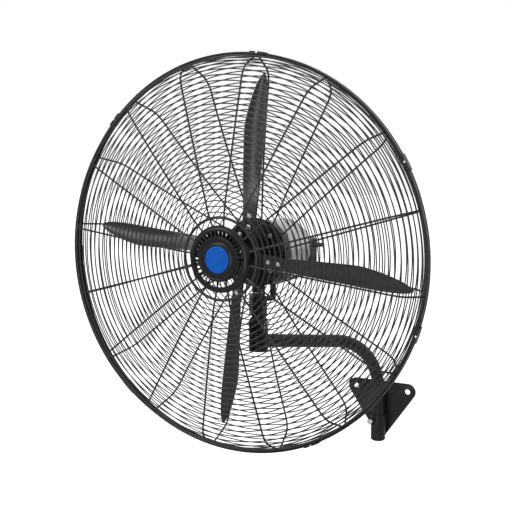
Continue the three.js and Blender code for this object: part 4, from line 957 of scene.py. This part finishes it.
def arm():
    """One bent tube from the socket to the clevis, with a weld bead where it meets the barrel."""
    at_neck = PIVOT.z + (BARREL_TOP + BARREL_FOOT) / 2 + PIPE_RISE
    bend_start = ARM_REACH - BEND_R + BEND_R * math.sin(ARM_CLIMB)
    centre = at_neck - bend_start * math.tan(ARM_CLIMB) - BEND_R * math.cos(ARM_CLIMB)
    points = [Vector((0, 4 - ARM_REACH, at_neck - 4 * math.tan(ARM_CLIMB)))]
    for k in range(29):
        turn = ARM_CLIMB + (math.pi / 2 - ARM_CLIMB) * k / 28
        points.append(Vector((0, BEND_R * math.sin(turn) - BEND_R, centre + BEND_R * math.cos(turn))))
    points.append(Vector((0, 0, SOCKET_FOOT + PLUG_DEPTH + 0.3)))
    tube = wire(points, PIPE_R, 48)
    bead = []
    steps = 64
    for k in range(steps):
        turn = TURN * k / steps
        x, z = (PIPE_R + 0.8) * math.cos(turn), (PIPE_R + 0.8) * math.sin(turn)
        y = math.sqrt(BARREL_R ** 2 - x * x)
        bead.append(Vector((x, y - ARM_REACH + 0.3, at_neck - y * math.tan(ARM_CLIMB) + z)))
    weld = wire(bead, 1.5, 10, closed=True)
    make("bent_tube", merged(tube, weld), AT_ARM, "arm", BLACK, ["arm_tube"])


arm()

# ---------------------------------------------------------------- wall bracket
PLATE_THICK = 5
HOLE_SPACING = 120
HOLE_R = 6
LOBE_DROP = 88
LOBE_R = 18
STANDOFF = -SOCKET.y - PLATE_THICK
SOCKET_BORE = 14.3
SOCKET_R = SOCKET_BORE + 1.8
CLAMP_DROP = 14
CLAMP_TURN = 25
NUT_THICK = 7


def bracket():
    top = LOBE_DROP / 2
    slope = math.atan2(LOBE_DROP, HOLE_SPACING / 2)
    lobes = [
        (HOLE_SPACING / 2, top, slope - math.pi / 2, math.pi / 2),
        (-HOLE_SPACING / 2, top, math.pi / 2, 1.5 * math.pi - slope),
        (0, -top, 1.5 * math.pi - slope, 1.5 * math.pi + slope),
    ]
    outline = []
    for x, z, start, end in lobes:
        for k in range(17):
            turn = start + (end - start) * k / 16
            outline.append((x + LOBE_R * math.cos(turn), z + LOBE_R * math.sin(turn)))
    holes = [circle(HOLE_R, side * HOLE_SPACING / 2, top) for side in (-1, 1)]
    plate = placed(sheet_cut([outline, *holes], PLATE_THICK, 0.9), TO_Y)
    make("pressed_plate", plate, Matrix.Identity(4), "wall_bracket", BLACK, ["wall_plate"])
    tube = [(SOCKET_BORE, SOCKET_FOOT), (SOCKET_R, SOCKET_FOOT)]
    tube += [(SOCKET_R, SOCKET_TOP), (SOCKET_BORE, SOCKET_TOP)]
    tube = spun(rounded(tube, 0.8, 3), 72)
    low, high = SOCKET_FOOT + 6, SOCKET_TOP - 4
    half = SOCKET_R * 0.7
    web = block((-half, SOCKET_BORE + 0.4, low), (half, STANDOFF, high), 1, 0.5)
    skins = [tube]
    for side in (-1, 1):
        x, y = side * (half + 0.5), STANDOFF - 1.2
        points = [Vector((x, y, low + (high - low) * k / 12)) for k in range(13)]
        skins.append(wire(points, 2.2, 10))
    socket = merged(*skins, web)
    make("welded_socket", socket, AT_SOCKET, "wall_bracket", BLACK, ["pivot_socket"])
    foot = SOCKET_FOOT
    plug = [(0, foot - 4), (SOCKET_R - 3, foot - 4), (SOCKET_R, foot - 1), (SOCKET_R, foot - 0.3)]
    plug += [(PIPE_R, foot - 0.3), (PIPE_R, foot + PLUG_DEPTH), (0, foot + PLUG_DEPTH)]
    plug = spun(rounded(plug, [0, 2.4, 2.0, 0.2, 0, 0.5, 0], 4, closed=False), 64)
    make("moulded_plug", plug, AT_SOCKET, "wall_bracket", PLASTIC, ["socket_plug"])
    clamp = AT_SOCKET @ Matrix.Translation((0, 0, SOCKET_TOP - CLAMP_DROP))
    clamp = clamp @ Matrix.Rotation(-math.radians(CLAMP_TURN), 4, "Z") @ TO_Y
    boss = hexagon(7.5, SOCKET_R - 0.6, SOCKET_R + NUT_THICK, 4.3)
    make("weld_nut", boss, clamp, "wall_bracket", BLACK, ["swivel_nut"])
    head = SOCKET_R + NUT_THICK + 0.3
    bolt = merged(rod(4, PIPE_R + 0.3, head, 0.6, 28), hexagon(6.5, head, head + 5.5))
    make("hex_clamp_bolt", bolt, clamp, "wall_bracket", ZINC, ["swivel_bolt"])


bracket()

# ---------------------------------------------------------------- CAD pieces that keep their shape
KEPT = {
    "stator": LAMINATION,
    "rotor_core": LAMINATION,
    "bearing_front": STEEL,
    "bearing_rear": STEEL,
    "rotor_shaft": STEEL,
    "idler_gear": BRASS,
    "crank_gear": BRASS,
    "crank_arm": STEEL,
    "drive_link": BLACK,
}
for node, material in KEPT.items():
    target = frame["nodes"][node]
    target.data.materials.clear()
    target.data.materials.append(material)

# ---------------------------------------------------------------- stage, light and camera
CAMERA_AT = HEAD + Vector((771.7, -1341.1, 174.1))
CAMERA_TURN = math.radians(28.4)
CAMERA_DROP = math.radians(6.4)
FOCAL_SHARE = 827.4 / 512  # focal length over the picture's width
FLOOR_Z = -0.75
FLOOR_HALF = 30
FLOOR_GLOW = 0.8  # what the camera alone sees, so that the floor ends in white and keeps its shadow


def stage():
    material = new_material("pale_floor", (0.93, 0.93, 0.93), 0.9, specular=0.1)
    vary(material, noise_of(material, 3), "Base Color", (0.92, 0.92, 0.92), (0.94, 0.94, 0.94))
    nodes, links = material.node_tree.nodes, material.node_tree.links
    shader = nodes["Principled BSDF"]
    shader.inputs["Emission Color"].default_value = (1, 1, 1, 1)
    path = nodes.new("ShaderNodeLightPath")
    glow = nodes.new("ShaderNodeMapRange")
    glow.inputs["To Min"].default_value = 0.0
    glow.inputs["To Max"].default_value = FLOOR_GLOW
    links.new(path.outputs["Is Camera Ray"], glow.inputs["Value"])
    links.new(glow.outputs["Result"], shader.inputs["Emission Strength"])
    mesh = bpy.data.meshes.new("floor")
    half, z = FLOOR_HALF, FLOOR_Z
    corners = [(-half, -half, z), (half, -half, z), (half, half, z), (-half, half, z)]
    mesh.from_pydata(corners, [], [(0, 1, 2, 3)])
    mesh.materials.append(material)
    floor = bpy.data.objects.new("floor", mesh)
    bpy.context.scene.collection.objects.link(floor)


def softbox(name, at, aim, size, power):
    lamp = bpy.data.lights.new(name, "AREA")
    lamp.shape = "RECTANGLE"
    lamp.size, lamp.size_y = size
    lamp.energy = power
    place = bpy.data.objects.new(name, lamp)
    bpy.context.scene.collection.objects.link(place)
    place.location = at
    place.rotation_euler = (Vector(aim) - Vector(at)).to_track_quat("-Z", "Y").to_euler()


def lights():
    """White for the camera and for reflections; a plain level for the rest."""
    world = bpy.data.worlds.new("studio")
    bpy.context.scene.world = world
    world.use_nodes = True
    nodes, links = world.node_tree.nodes, world.node_tree.links
    back = nodes["Background"]
    back.inputs["Color"].default_value = (1, 1, 1, 1)
    path = nodes.new("ShaderNodeLightPath")
    seen = path.outputs["Is Camera Ray"]
    for kind in ("Is Glossy Ray", "Is Transmission Ray"):
        either = nodes.new("ShaderNodeMath")
        either.operation = "MAXIMUM"
        links.new(seen, either.inputs[0])
        links.new(path.outputs[kind], either.inputs[1])
        seen = either.outputs["Value"]
    ramp = nodes.new("ShaderNodeMapRange")
    ramp.inputs["To Min"].default_value = 0.5
    ramp.inputs["To Max"].default_value = 1.0
    links.new(seen, ramp.inputs["Value"])
    links.new(ramp.outputs["Result"], back.inputs["Strength"])
    centre = HEAD * MM
    softbox("front_softbox", centre + Vector((0.15, -2.8, -0.25)), centre, (0.8, 1.0), 14)
    softbox("side_softbox", centre + Vector((-1.35, -2.3, 1.05)), centre, (0.8, 1.0), 16)
    softbox("top_softbox", centre + Vector((0.2, -0.4, 2.2)), centre, (2.0, 1.2), 40)


def camera():
    data = bpy.data.cameras.new("camera")
    data.sensor_width = 36
    data.lens = 36 * FOCAL_SHARE
    data.clip_end = 100
    eye = bpy.data.objects.new("camera", data)
    bpy.context.scene.collection.objects.link(eye)
    eye.location = CAMERA_AT * MM
    eye.rotation_euler = (math.pi / 2 - CAMERA_DROP, 0, CAMERA_TURN)
    bpy.context.scene.camera = eye
    bpy.context.scene.view_settings.view_transform = "Standard"


stage()
lights()
camera()
